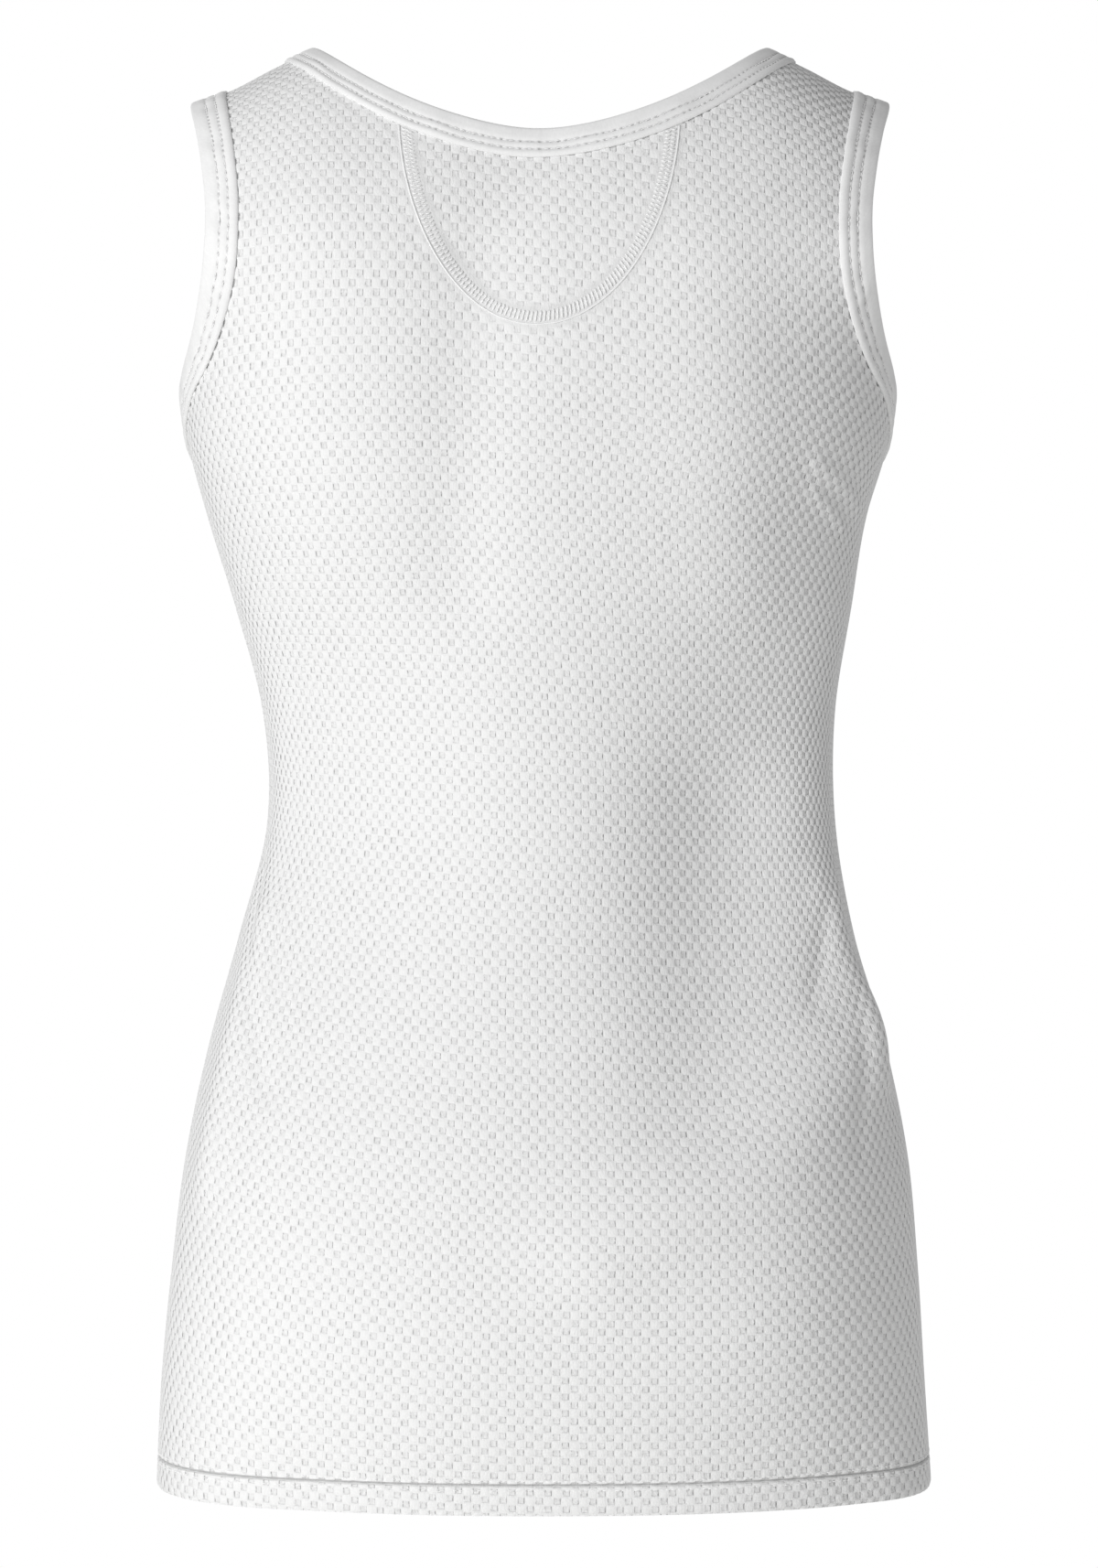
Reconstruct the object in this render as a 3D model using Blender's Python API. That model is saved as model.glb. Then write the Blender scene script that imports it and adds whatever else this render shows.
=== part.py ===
"""A women's sleeveless base layer of white mesh knit, filled out as it is when worn.

Metres, +Z up. The garment's front faces -Y, its back +Y, and the wearer's left is +X. The origin
is midway between the tops of the two shoulder straps, by which the garment is held up.

Every piece is a closed wall of cloth. A panel is drawn flat, in two measures: across (from the
centre line, + to the wearer's left) and up. form() bends the flat panel round the body: over
level sections up to DOME, and from there over the shoulder blades or the chest to the ridge of the
shoulders. Bindings are folded over a panel's own edge rows, so they follow the cloth they hold.
"""
from collections import namedtuple

import bmesh
import bpy
import numpy as np
from mathutils.geometry import delaunay_2d_cdt

# ---- Cloth ----
WALL = 0.0010           # a panel's knit
BAND = 0.0010           # one layer of a binding
GAP = 0.0003            # between any two pieces
NECK_LAP = 0.0118       # how far a binding reaches over the panel from its raw edge
ARMHOLE_LAP = 0.0140
HEM_DEPTH = 0.0130      # the hem's turning
MESH_STEP = 0.0165      # distance between the points inside a panel
EDGE_STEP = 0.0125      # distance between the points along an edge
HEM_POINTS = 19         # points of a hem row from a side seam to the centre line
KNIT_COLOUR = (0.90, 0.90, 0.90)
BINDING_COLOUR = (0.92, 0.92, 0.92)

# ---- The body of the garment: level sections from hem to underarm ----
# centre is the section's middle in X, from about the hips' middle. back and front are its depths
# from the side seams' plane, and hollow is how far it is drawn in halfway round to the sides.
Section = namedtuple("Section", "height centre half_width back front hollow")
SECTIONS = [
    Section(-0.620, 0.0022, 0.1680, 0.1185, 0.1090, 0.004),
    Section(-0.574, 0.0026, 0.1654, 0.1205, 0.1090, 0.004),
    Section(-0.526, 0.0018, 0.1617, 0.1200, 0.1080, 0.004),
    Section(-0.478, 0.0010, 0.1566, 0.1130, 0.1050, 0.006),
    Section(-0.430, 0.0008, 0.1468, 0.1010, 0.1010, 0.010),
    Section(-0.382, 0.0010, 0.1334, 0.0905, 0.0970, 0.014),
    Section(-0.334, -0.0010, 0.1234, 0.0865, 0.0955, 0.016),
    Section(-0.286, 0.0000, 0.1242, 0.0885, 0.1020, 0.014),
    Section(-0.240, 0.0024, 0.1337, 0.0960, 0.1140, 0.009),
    Section(-0.200, 0.0052, 0.1432, 0.1035, 0.1200, 0.004),
    Section(-0.170, 0.0048, 0.1516, 0.1065, 0.1180, 0.001),
    Section(-0.146, 0.0048, 0.1548, 0.1070, 0.1140, 0.000),
]
HEM = SECTIONS[0].height
DOME = SECTIONS[-1].height
ROUND = 2.6             # the sections' roundness: 2 is an ellipse, more is squarer

# ---- The shoulders ----
Shoulder = namedtuple("Shoulder", "out height")
SHOULDER = [
    Shoulder(0.000, 0.0040),
    Shoulder(0.070, 0.0030),
    Shoulder(0.098, -0.0015),
    Shoulder(0.114, -0.0088),
    Shoulder(0.131, -0.0175),
    Shoulder(0.150, -0.0245),
    Shoulder(0.170, -0.0300),
]
RIDGE_BACK = 0.018      # how far the shoulder seams' plane is behind the side seams'
RIDGE_ASIDE = 0.0038    # how far the shoulders' middle is from the hips': the worn garment leans
BLADE_FULLNESS = 0.36   # how square the back stays between its blades and armholes: 1 is not at all
CHEST_FULLNESS = 1.10

# ---- Neck, yoke and armholes ----
NECK_DROP = 0.0432      # the back's raw neck edge, below the shoulders
NECK_HALF_WIDTH = 0.1010
NECK_TOP = 0.0994       # where both raw edges meet the ridge, from the centre
NECK_DROP_FRONT = 0.100
NECK_ROUND_FRONT = 2.3
YOKE_TOP = -0.032       # height of the half-moon's widest level
YOKE_HALF_WIDTH = 0.0562
YOKE_DEPTH = 0.0914
# The armhole's raw edge, from the back's shoulder round under the arm to the front's: its distance
# from the side seam, + on the back, and its height.
Armhole = namedtuple("Armhole", "inset height")
ARMHOLE = [
    Armhole(0.0565, 0.0100),
    Armhole(0.0585, -0.0300),
    Armhole(0.0680, -0.0420),
    Armhole(0.0748, -0.0570),
    Armhole(0.0793, -0.0770),
    Armhole(0.0780, -0.0970),
    Armhole(0.0726, -0.1120),
    Armhole(0.0628, -0.1270),
    Armhole(0.0430, -0.1415),
    Armhole(0.0230, -0.1500),
    Armhole(0.0000, -0.1580),
    Armhole(-0.0200, -0.1620),
    Armhole(-0.0400, -0.1590),
    Armhole(-0.0580, -0.1450),
    Armhole(-0.0720, -0.1220),
    Armhole(-0.0770, -0.0950),
    Armhole(-0.0740, -0.0680),
    Armhole(-0.0660, -0.0440),
    Armhole(-0.0600, -0.0300),
    Armhole(-0.0579, 0.0100),
]

# ---- Large folds of the worn cloth ----
# A soft ridge (+) or trough (-) from one flat point to another: its half width and its height.
Fold = namedtuple("Fold", "across up to_across to_up half_width height")
FOLDS = {
    "back": [
        Fold(-0.004, -0.050, 0.010, -0.080, 0.020, -0.0028),
        Fold(0.021, -0.110, 0.030, -0.235, 0.018, -0.0044),
        Fold(0.074, -0.100, 0.082, -0.220, 0.030, 0.0030),
        Fold(-0.062, -0.110, -0.072, -0.225, 0.026, 0.0032),
        Fold(-0.062, -0.330, -0.060, -0.455, 0.030, -0.0060),
        Fold(-0.140, -0.425, -0.020, -0.510, 0.024, 0.0055),
        Fold(0.120, -0.375, 0.150, -0.480, 0.014, 0.0030),
        Fold(-0.125, -0.365, -0.145, -0.440, 0.013, 0.0030),
        Fold(-0.088, -0.495, -0.086, -0.535, 0.040, 0.0050),
        Fold(0.080, -0.620, -0.120, -0.617, 0.030, -0.0045),
    ],
    "front": [
        Fold(0.070, -0.260, 0.115, -0.205, 0.020, 0.0030),
        Fold(-0.062, -0.270, -0.120, -0.212, 0.020, 0.0032),
        Fold(0.012, -0.300, -0.020, -0.440, 0.030, -0.0035),
        Fold(0.110, -0.370, 0.060, -0.470, 0.022, 0.0035),
        Fold(-0.105, -0.380, -0.050, -0.490, 0.024, 0.0030),
    ],
}

OUTWARD = {"back": 1.0, "front": -1.0}      # which way in Y each panel faces


def smooth(x, y, at):
    """A smooth curve through the values y at x, read at some places."""
    slope = np.gradient(y, x)
    at = np.clip(at, x[0], x[-1])
    i = np.clip(np.searchsorted(x, at) - 1, 0, len(x) - 2)
    step = x[i + 1] - x[i]
    t = (at - x[i]) / step
    start = (1 + 2 * t) * (1 - t) ** 2 * y[i] + t * (1 - t) ** 2 * step * slope[i]
    return start + t * t * (3 - 2 * t) * y[i + 1] + t * t * (t - 1) * step * slope[i + 1]


def column(rows, name, at):
    """One column of a table, read smoothly between its rows."""
    return smooth(np.array([row[0] for row in rows]), np.array([getattr(row, name) for row in rows]), at)


def unit_quarter():
    """A quarter of the unit superellipse, from (1, 0) to (0, 1), and the share of its length."""
    turn = np.pi / 4 * (1 - np.cos(np.linspace(0, np.pi, 2001)))
    falling = np.cos(turn).clip(0) ** (2 / ROUND)
    rising = np.sin(turn).clip(0) ** (2 / ROUND)
    length = np.append(0, np.cumsum(np.hypot(np.diff(falling), np.diff(rising))))
    return falling, rising, length / length[-1], length[-1]


FALLING, RISING, SHARE, UNIT_LENGTH = unit_quarter()
LENGTH_POWER = np.log(2) / np.log(UNIT_LENGTH)


def quarter(share):
    """The two coordinates of the unit quarter at a share of its length."""
    return np.interp(share, SHARE, FALLING), np.interp(share, SHARE, RISING)


def quarter_length(a, b):
    """The length of a quarter with half axes a and b."""
    return (np.abs(a) ** LENGTH_POWER + np.abs(b) ** LENGTH_POWER) ** (1 / LENGTH_POWER)


def half_girth(side, up):
    """A panel's flat width from its centre line to its side seam."""
    up = np.minimum(up, DOME)
    return quarter_length(column(SECTIONS, "half_width", up), column(SECTIONS, side, up))


def dome(side, share_out):
    """The dome's depth from the ridge, its height and its length, at a share of the half girth."""
    falling, rising = quarter(share_out)
    base = SECTIONS[-1]
    fullness = BLADE_FULLNESS if side == "back" else CHEST_FULLNESS
    depth = getattr(base, side) * falling ** fullness - OUTWARD[side] * RIDGE_BACK
    height = column(SHOULDER, "height", base.half_width * rising) - DOME
    return depth, height, quarter_length(depth, height)


def ridge(side, across):
    """The flat height of the shoulder ridge."""
    share_out = np.abs(across) / half_girth(side, DOME)
    return DOME + dome(side, share_out)[2]


def base_form(side, across, up):
    """Flat points bent round the body, without folds. Past a seam the form goes on, mirrored."""
    level = np.minimum(up, DOME)
    share_out = np.abs(across) / half_girth(side, up)
    beyond = np.where(share_out > 1, -1.0, 1.0)
    share_out = np.where(share_out > 1, 2 - share_out, share_out)
    falling, rising = quarter(share_out)
    aside = np.sign(across) * column(SECTIONS, "half_width", level) * rising
    hollow = column(SECTIONS, "hollow", level) * 4 * rising ** 2 * (1 - rising ** 2)
    out = column(SECTIONS, side, level) * falling - hollow
    depth, height, length = dome(side, share_out)
    share_up = np.maximum(up - DOME, 0) / length
    over = np.where(share_up > 1, -1.0, 1.0)
    share_up = np.where(share_up > 1, 2 - share_up, share_up)
    down, climb = quarter(share_up)
    soft = np.clip(share_up / 0.30, 0, 1)
    soft = soft * soft * (3 - 2 * soft)
    fullness = BLADE_FULLNESS if side == "back" else CHEST_FULLNESS
    full_out = getattr(SECTIONS[-1], side) * falling ** (1 + (fullness - 1) * soft)
    from_ridge = OUTWARD[side] * RIDGE_BACK
    domed = from_ridge + over * (full_out - from_ridge) * down
    lean = np.where(up > DOME, climb * (RIDGE_ASIDE - SECTIONS[-1].centre), 0)
    x = column(SECTIONS, "centre", level) + aside + lean
    y = OUTWARD[side] * beyond * np.where(up > DOME, domed, out)
    z = np.where(up > DOME, DOME + height * climb, up)
    return np.stack([x - RIDGE_ASIDE, y - RIDGE_BACK, z], axis=-1)


def normal(side, across, up, surface):
    """The outward normal of a surface at flat points."""
    step = 0.0005
    along = surface(side, across + step, up) - surface(side, across - step, up)
    upward = surface(side, across, up + step) - surface(side, across, up - step)
    n = np.cross(upward, along) * OUTWARD[side]
    return n / np.linalg.norm(n, axis=-1, keepdims=True)


def fold_height(side, across, up):
    """How far the folds lift the cloth; they fade out before the seams."""
    lift = np.zeros(np.shape(across))
    for fold in FOLDS[side]:
        run = np.array([fold.to_across - fold.across, fold.to_up - fold.up])
        length = np.hypot(*run)
        run = run / length
        away = np.stack([across - fold.across, up - fold.up], axis=-1)
        past = away @ run
        aside = away @ np.array([-run[1], run[0]])
        beyond = np.maximum(np.maximum(-past, past - length), 0)
        lift = lift + fold.height * np.exp(-(aside ** 2 + beyond ** 2) / fold.half_width ** 2)
    to_side = np.clip((1 - np.abs(across) / half_girth(side, up)) / 0.12, 0, 1)
    to_ridge = np.clip((ridge(side, across) - up) / 0.05, 0, 1)
    return lift * to_side * to_side * (3 - 2 * to_side) * to_ridge * to_ridge * (3 - 2 * to_ridge)


def form(side, across, up):
    """Flat points on the worn cloth's middle."""
    lift = fold_height(side, across, up)[..., None]
    return base_form(side, across, up) + normal(side, across, up, base_form) * lift


def place(side, flat, lift):
    """Flat points in space, moved out from the cloth's middle."""
    across, up = flat[:, 0], flat[:, 1]
    return form(side, across, up) + normal(side, across, up, form) * lift


# ---- Drawing the flat outlines, on the wearer's left ----
def smooth_curve(points, count):
    """A smooth curve through a few points."""
    points = np.array(points)
    length = np.append(0, np.cumsum(np.hypot(*np.diff(points, axis=0).T)))
    at = np.linspace(0, length[-1], count)
    return np.stack([smooth(length, values, at) for values in points.T], axis=-1)


def spaced(curve, count):
    """The curve's points set anew, evenly spaced."""
    length = np.append(0, np.cumsum(np.hypot(*np.diff(curve, axis=0).T)))
    at = np.linspace(0, length[-1], count)
    return np.stack([np.interp(at, length, curve[:, 0]), np.interp(at, length, curve[:, 1])], axis=-1)


def cut(curve, value):
    """The curve's stretch up to where a value, + at its start, falls to 0, and the rest."""
    i = int(np.argmax(value <= 0))
    t = value[i - 1] / (value[i - 1] - value[i])
    here = curve[i - 1] + t * (curve[i] - curve[i - 1])
    return np.vstack([curve[:i], here]), np.vstack([here, curve[i:]])


def flat_up(side, share_out, height):
    """The flat height of a point of the cloth at a real height."""
    _, rise, length = dome(side, share_out)
    climb = np.clip((height - DOME) / rise, 0, 1)
    over = np.maximum(height - DOME - rise, 0)
    on_dome = DOME + np.interp(climb, RISING, SHARE) * length + over
    return np.where(height > DOME, on_dome, height)


def from_behind(side, out, height):
    """Flat points from their distance from the centre line and height, as seen from behind."""
    rising = np.clip(out / column(SECTIONS, "half_width", np.minimum(height, DOME)), 0, 1)
    share_out = np.interp(rising, RISING, SHARE)
    up = flat_up(side, share_out, height)
    return np.stack([share_out * half_girth(side, up), up], axis=-1)


def offset_in_space(surface, curve, turn, distance):
    """A flat curve moved sideways over the cloth by a real distance, in short steps."""
    moved = curve.copy()
    steps, tiny = 8, 0.0004
    for _ in range(steps):
        here = surface(moved)
        along_u = (surface(moved + [tiny, 0]) - here) / tiny
        along_v = (surface(moved + [0, tiny]) - here) / tiny
        run = np.gradient(here, axis=0)
        facing = np.cross(along_u, along_v)
        way = np.cross(facing, run) * turn
        way /= np.linalg.norm(way, axis=-1, keepdims=True)
        uu, uv, vv = (along_u ** 2).sum(-1), (along_u * along_v).sum(-1), (along_v ** 2).sum(-1)
        wu, wv = (way * along_u).sum(-1), (way * along_v).sum(-1)
        det = uu * vv - uv * uv
        flat_way = np.stack([(vv * wu - uv * wv) / det, (uu * wv - uv * wu) / det], axis=-1)
        moved = moved + flat_way * distance / steps
    return moved


def neck_curve(side):
    """The raw neck edge from the centre line to a little past the ridge, flat."""
    sweep = np.sin(np.linspace(0, np.pi / 2, 400))
    if side == "back":
        out = NECK_HALF_WIDTH * sweep
        height = -NECK_DROP * (1 - sweep ** 2)
    else:
        out = NECK_TOP * sweep
        height = -NECK_DROP_FRONT * (1 - sweep ** NECK_ROUND_FRONT)
    curve = from_behind(side, out, height)
    curve = curve[(curve[:, 1] < ridge(side, curve[:, 0]) - 0.006)]
    across = half_girth(side, DOME) * np.interp(NECK_TOP / SECTIONS[-1].half_width, RISING, SHARE)
    top = float(ridge(side, across))
    return np.vstack([curve, [across, top], [across, top + 0.02]])


def armhole_curve():
    """The raw armhole edge, from the back's shoulder round under the arm to the front's.

    Its points are an inset from the side seam, + on the back, and a flat height.
    """
    points = []
    for row in ARMHOLE:
        side = "back" if row.inset >= 0 else "front"
        share_out = 1 - abs(row.inset) / half_girth(side, row.height)
        points.append((row.inset, float(flat_up(side, share_out, row.height))))
    return smooth_curve(points, 500)


def around_side(curve):
    """Where points given by their inset from the side seam lie in space."""
    inset, up = curve[:, 0], curve[:, 1]
    back = base_form("back", half_girth("back", up) - inset, up)
    front = base_form("front", half_girth("front", up) + inset, up)
    return np.where(inset[:, None] >= 0, back, front)


def from_inset(side, curve):
    """Insets from the side seam turned into a panel's own flat points."""
    across = half_girth(side, curve[:, 1]) - OUTWARD[side] * curve[:, 0]
    return np.stack([across, curve[:, 1]], axis=-1)


def count_for(curve, step=EDGE_STEP):
    """How many points a curve takes at about one step."""
    length = np.hypot(*np.diff(curve, axis=0).T).sum()
    return max(int(round(length / step)), 2) + 1


def edge_and_lap(raw, lap, step=EDGE_STEP):
    """An edge row and the row at the binding's lap, with matching points."""
    count = count_for(raw, step)
    return spaced(raw, count), spaced(lap, count)


def below_ridge(side, curve):
    """How far a flat curve is below the panel's shoulder edge."""
    return ridge(side, curve[:, 0]) - GAP / 2 - curve[:, 1]


def in_yoke(curve, margin):
    """More than 0 inside the half-moon's outline, which margin widens."""
    points = base_form("back", curve[:, 0], curve[:, 1])
    out = points[:, 0] - base_form("back", 0 * curve[:, 0], curve[:, 1])[:, 0]
    below = YOKE_TOP - points[:, 2]
    return 1 - (out / (YOKE_HALF_WIDTH + margin)) ** 2 - (below / (YOKE_DEPTH + margin)) ** 2


def yoke_line(start, margin):
    """The half-moon's outline from the neck's lap down to the centre line, flat."""
    half_width, depth = YOKE_HALF_WIDTH + margin, YOKE_DEPTH + margin
    turn = np.linspace(0, np.pi / 2, 200)
    curve = from_behind("back", half_width * np.cos(turn), YOKE_TOP - depth * np.sin(turn))
    curve = curve[curve[:, 1] < start[1] - 0.002]
    return np.vstack([start, curve])


def neck_rows(side):
    """The neck's edge and lap rows from the centre line to the ridge; the back's split at the yoke."""
    raw = neck_curve(side)
    lap = offset_in_space(lambda c: base_form(side, c[:, 0], c[:, 1]), raw, -1, NECK_LAP)
    lap[0, 0] = 0
    raw = cut(raw, below_ridge(side, raw))[0]
    lap = cut(lap, below_ridge(side, lap))[0]
    if side == "front":
        return {"neck": edge_and_lap(raw, lap)}
    yoke = [cut(row, in_yoke(row, -GAP / 2))[0] for row in (raw, lap)]
    rest = [cut(row, in_yoke(row, GAP / 2))[1] for row in (raw, lap)]
    return {"yoke": edge_and_lap(*yoke), "neck": edge_and_lap(*rest)}


def armhole_rows(side):
    """One panel's edge and lap rows at the armhole, from the shoulder to the side seam."""
    raw = armhole_curve()
    lap = offset_in_space(around_side, raw, 1, ARMHOLE_LAP)
    if side == "front":
        raw, lap = raw[::-1], lap[::-1]
    rows = []
    for curve in (raw, lap):
        curve = cut(curve, OUTWARD[side] * curve[:, 0] - GAP / 2)[0]
        flat = from_inset(side, curve)[::-1]
        rows.append(cut(flat, below_ridge(side, flat))[0][::-1])
    return edge_and_lap(*rows)


# ---- Sheets: flat meshes ----
class Sheet:
    """A panel's flat mesh, with the strips along its edges kept as rows of quads."""

    def __init__(self):
        self.points = []
        self.known = {}
        self.triangles = []
        self.hem_triangles = set()

    def add(self, curve):
        """The points' numbers; a point that is already there is shared."""
        ids = []
        for point in curve:
            key = (round(float(point[0]), 6) + 0.0, round(float(point[1]), 6))
            if key not in self.known:
                self.known[key] = len(self.points)
                self.points.append(tuple(point))
            ids.append(self.known[key])
        return ids

    def strip(self, edge, lap, hem=False):
        """Quads between two rows, all split from the edge's point to the lap's next point."""
        for i in range(len(edge) - 1):
            self.triangles.append((edge[i], edge[i + 1], lap[i + 1]))
            self.triangles.append((edge[i], lap[i + 1], lap[i]))
        if hem:
            added = 2 * (len(edge) - 1)
            self.hem_triangles.update(self.triangles[-added:])

    def fill(self, loop, step):
        """The inside of a closed loop, meshed over an even grid of points."""
        outline = np.array([self.points[i] for i in loop])
        low, high = outline.min(0), outline.max(0)
        rise = step * np.sqrt(3) / 2
        levels = np.arange(low[1] + rise / 2, high[1], rise)
        places = np.arange(np.floor(low[0] / step) * step, high[0], step)
        grid = [np.array([x + step / 2 * (row % 2), y]) for row, y in enumerate(levels) for x in places]
        clear = 0.55 * step
        ids = list(loop) + self.add([point for point in grid if clear_inside(point, outline, clear)])
        flat = [self.points[i] for i in ids]
        result = delaunay_2d_cdt(flat, [], [list(range(len(loop)))], 1, 1e-7)
        source = [ids[origins[0]] for origins in result[3]]
        self.triangles.extend(tuple(source[k] for k in face) for face in result[2])

    def facing_up(self):
        """The triangles, each turned to run the same way round."""
        flat = np.array(self.points)
        turned = []
        for tri in self.triangles:
            (ax, ay), (bx, by), (cx, cy) = flat[list(tri)]
            area = (bx - ax) * (cy - ay) - (by - ay) * (cx - ax)
            turned.append((tri if area > 0 else tri[::-1], tri in self.hem_triangles))
        return turned


def clear_inside(point, outline, margin):
    """Whether a point is inside an outline and clear of its points."""
    a, b = outline, np.roll(outline, -1, axis=0)
    crosses = (a[:, 1] > point[1]) != (b[:, 1] > point[1])
    rise = np.where(crosses, b[:, 1] - a[:, 1], 1)
    at = a[:, 0] + (point[1] - a[:, 1]) / rise * (b[:, 0] - a[:, 0])
    inside = np.count_nonzero(crosses & (point[0] < at)) % 2 == 1
    return inside and np.hypot(*(outline - point).T).min() > margin


# ---- Solids ----
def material(name, colour):
    made = bpy.data.materials.get(name) or bpy.data.materials.new(name)
    made.use_nodes = True
    shader = made.node_tree.nodes["Principled BSDF"]
    shader.inputs["Base Color"].default_value = (*colour, 1)
    shader.inputs["Roughness"].default_value = 0.85
    shader.inputs["Metallic"].default_value = 0
    return made


def build_object(name, points, faces, cloth, parent):
    """An object from points and faces, closed and facing out."""
    mesh = bpy.data.meshes.new(name)
    bm = bmesh.new()
    verts = [bm.verts.new(point) for point in points]
    for face in faces:
        bm.faces.new([verts[i] for i in face])
    bmesh.ops.delete(bm, geom=[v for v in bm.verts if not v.link_faces], context="VERTS")
    bmesh.ops.recalc_face_normals(bm, faces=bm.faces)
    bm.to_mesh(mesh)
    bm.free()
    mesh.materials.append(cloth)
    mesh.shade_smooth()
    mesh.set_sharp_from_angle(angle=np.radians(50))
    built = bpy.data.objects.new(name, mesh)
    built.parent = parent
    bpy.context.scene.collection.objects.link(built)
    return built


def fan(ring):
    return [(ring[0], ring[k], ring[k + 1]) for k in range(1, len(ring) - 1)]


def panel_solid(name, side, sheet, cloth, parent):
    """A sheet made into a wall; the hem's turning is a second layer on its inside."""
    flat = np.array(sheet.points)
    count = len(flat)
    points = np.vstack([place(side, flat, lift * WALL) for lift in (0.5, -0.5, -1.5)])
    triangles = sheet.facing_up()
    hem_top = {i for tri, hem in triangles if not hem for i in tri}
    owner = {(tri[k], tri[(k + 1) % 3]): hem for tri, hem in triangles for k in range(3)}
    faces = []
    for tri, hem in triangles:
        under = 2 * count if hem else count
        faces.append(tri)
        faces.append(tuple(i + under for i in reversed(tri)))
    for (a, b), hem in owner.items():
        across = owner.get((b, a))
        if across is None and not hem:
            faces += fan((b, a, a + count, b + count))
        elif across is None and b in hem_top:
            faces += fan((a, b, b + count, b + 2 * count, a + 2 * count))
        elif across is None and a in hem_top:
            faces += fan((b, b + 2 * count, a + 2 * count, a + count, a))
        elif across is None:
            faces += fan((b, a, a + 2 * count, b + 2 * count))
        elif hem and not across:
            faces += fan((a + count, b + count, b + 2 * count, a + 2 * count))
    return build_object(name, points, faces, cloth, parent)


def binding_solid(name, parts, cloth, parent):
    """A strip folded over the panels' edges, right round an opening.

    Each part is a panel's side, its edge and lap rows, and whether the ring runs them backwards.
    """
    edge, lap, up_edge, up_lap, backwards = [], [], [], [], []
    for side, edge_row, lap_row, reverse in parts:
        order = slice(None, None, -1 if reverse else 1)
        for row, points, normals in ((edge_row, edge, up_edge), (lap_row, lap, up_lap)):
            points.extend(place(side, row, 0)[order])
            normals.extend(normal(side, row[:, 0], row[:, 1], form)[order])
        backwards.extend([reverse] * len(edge_row))
    edge, lap, up_edge, up_lap = (np.array(values) for values in (edge, lap, up_edge, up_lap))
    run = np.roll(edge, -2, axis=0) - np.roll(edge, 2, axis=0)
    out = np.cross(up_edge, run)
    out /= np.linalg.norm(out, axis=1, keepdims=True)
    out *= np.sign(((edge - lap) * out).sum(1))[:, None]
    near = WALL / 2 + GAP
    far = near + BAND
    slant = far * np.sqrt(0.5)
    # The folded strip's profile, once round: 12 points, some over the edge row, some over the lap.
    profile = [
        lap + up_lap * far, edge + up_edge * far, edge + (up_edge + out) * slant, edge + out * far,
        edge + (out - up_edge) * slant, edge - up_edge * far, lap - up_lap * far,
        lap - up_lap * near, edge - up_edge * near, edge + out * near, edge + up_edge * near,
        lap + up_lap * near,
    ]
    over_lap = (0, 6, 7, 11)
    count = len(edge)
    points = np.vstack(profile)
    faces = []
    for i in range(count):
        j = (i + 1) % count
        start, end = (j, i) if backwards[i] else (i, j)
        for k in range(len(profile)):
            a, b = (k + 1) % len(profile), k
            if a in over_lap and b not in over_lap:
                a, b = b, a
            faces.append((a * count + start, a * count + end, b * count + end))
            faces.append((a * count + start, b * count + end, b * count + start))
    return build_object(name, points, faces, cloth, parent)


# ---- The pieces ----
def raw_edge(edge, lap):
    """A panel's raw edge stops just short of the fold of its binding."""
    return edge + (lap - edge) * GAP / np.hypot(*(lap - edge).T)[:, None]


def mirrored(curve):
    return curve * np.array([-1, 1])


def shoulder_row(side, neck_end, armhole_end):
    """The shoulder edge from the neck binding's lap to the armhole binding's."""
    across = np.linspace(neck_end[0], armhole_end[0], 30)[1:-1]
    line = np.stack([across, ridge(side, across) - GAP / 2], axis=-1)
    line = np.vstack([neck_end, line, armhole_end])
    return spaced(line, count_for(line))


def side_row(side, armhole_end, hem_end):
    """The side edge from the armhole binding's lap down to the hem."""
    up = np.linspace(armhole_end[1], hem_end[1], 60)[1:-1]
    line = np.stack([half_girth(side, up) - GAP / 2, up], axis=-1)
    line = np.vstack([armhole_end, line, hem_end])
    return spaced(line, count_for(line))


def hem_row(side, up):
    """A level row from the side edge to the centre line."""
    across = np.linspace(half_girth(side, up) - GAP / 2, 0, HEM_POINTS)
    return np.stack([across, np.full(HEM_POINTS, up)], axis=-1)


def body_sheet(side, neck, armhole):
    """The back or the front, from its neck and armhole rows on the wearer's left."""
    sheet = Sheet()
    hem_top, hem_bottom = hem_row(side, HEM + HEM_DEPTH), hem_row(side, HEM)
    shoulder = shoulder_row(side, neck[1][-1], armhole[1][0])
    seam = side_row(side, armhole[1][-1], hem_top[0])
    middle = neck[1][:1]
    if side == "back":
        middle = yoke_line(neck[1][0], GAP / 2)
        middle = spaced(middle, count_for(middle))
    outline = [hem_top[::-1], seam[::-1], armhole[1][::-1], shoulder[::-1], neck[1][::-1], middle]
    outline = np.vstack(outline)
    for turn in (np.array, mirrored):
        for edge, lap in (neck, armhole):
            sheet.strip(sheet.add(turn(raw_edge(edge, lap))), sheet.add(turn(lap)))
        sheet.strip(sheet.add(turn(hem_bottom)), sheet.add(turn(hem_top)), hem=True)
    loop = sheet.add(outline) + sheet.add(mirrored(outline)[::-1])
    sheet.fill(once(loop), MESH_STEP)
    return sheet


def yoke_sheet(neck):
    """The half-moon, from its neck rows on the wearer's left."""
    sheet = Sheet()
    side_line = yoke_line(neck[1][-1], -GAP / 2)
    side_line = spaced(side_line, count_for(side_line))
    outline = np.vstack([neck[1], side_line])
    for turn in (np.array, mirrored):
        sheet.strip(sheet.add(turn(raw_edge(*neck))), sheet.add(turn(neck[1])))
    loop = sheet.add(outline) + sheet.add(mirrored(outline)[::-1])
    sheet.fill(once(loop), MESH_STEP)
    return sheet


def once(loop):
    """A loop of numbers with each repeat of its neighbour left out."""
    return [i for k, i in enumerate(loop) if i != loop[k - 1]]


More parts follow.
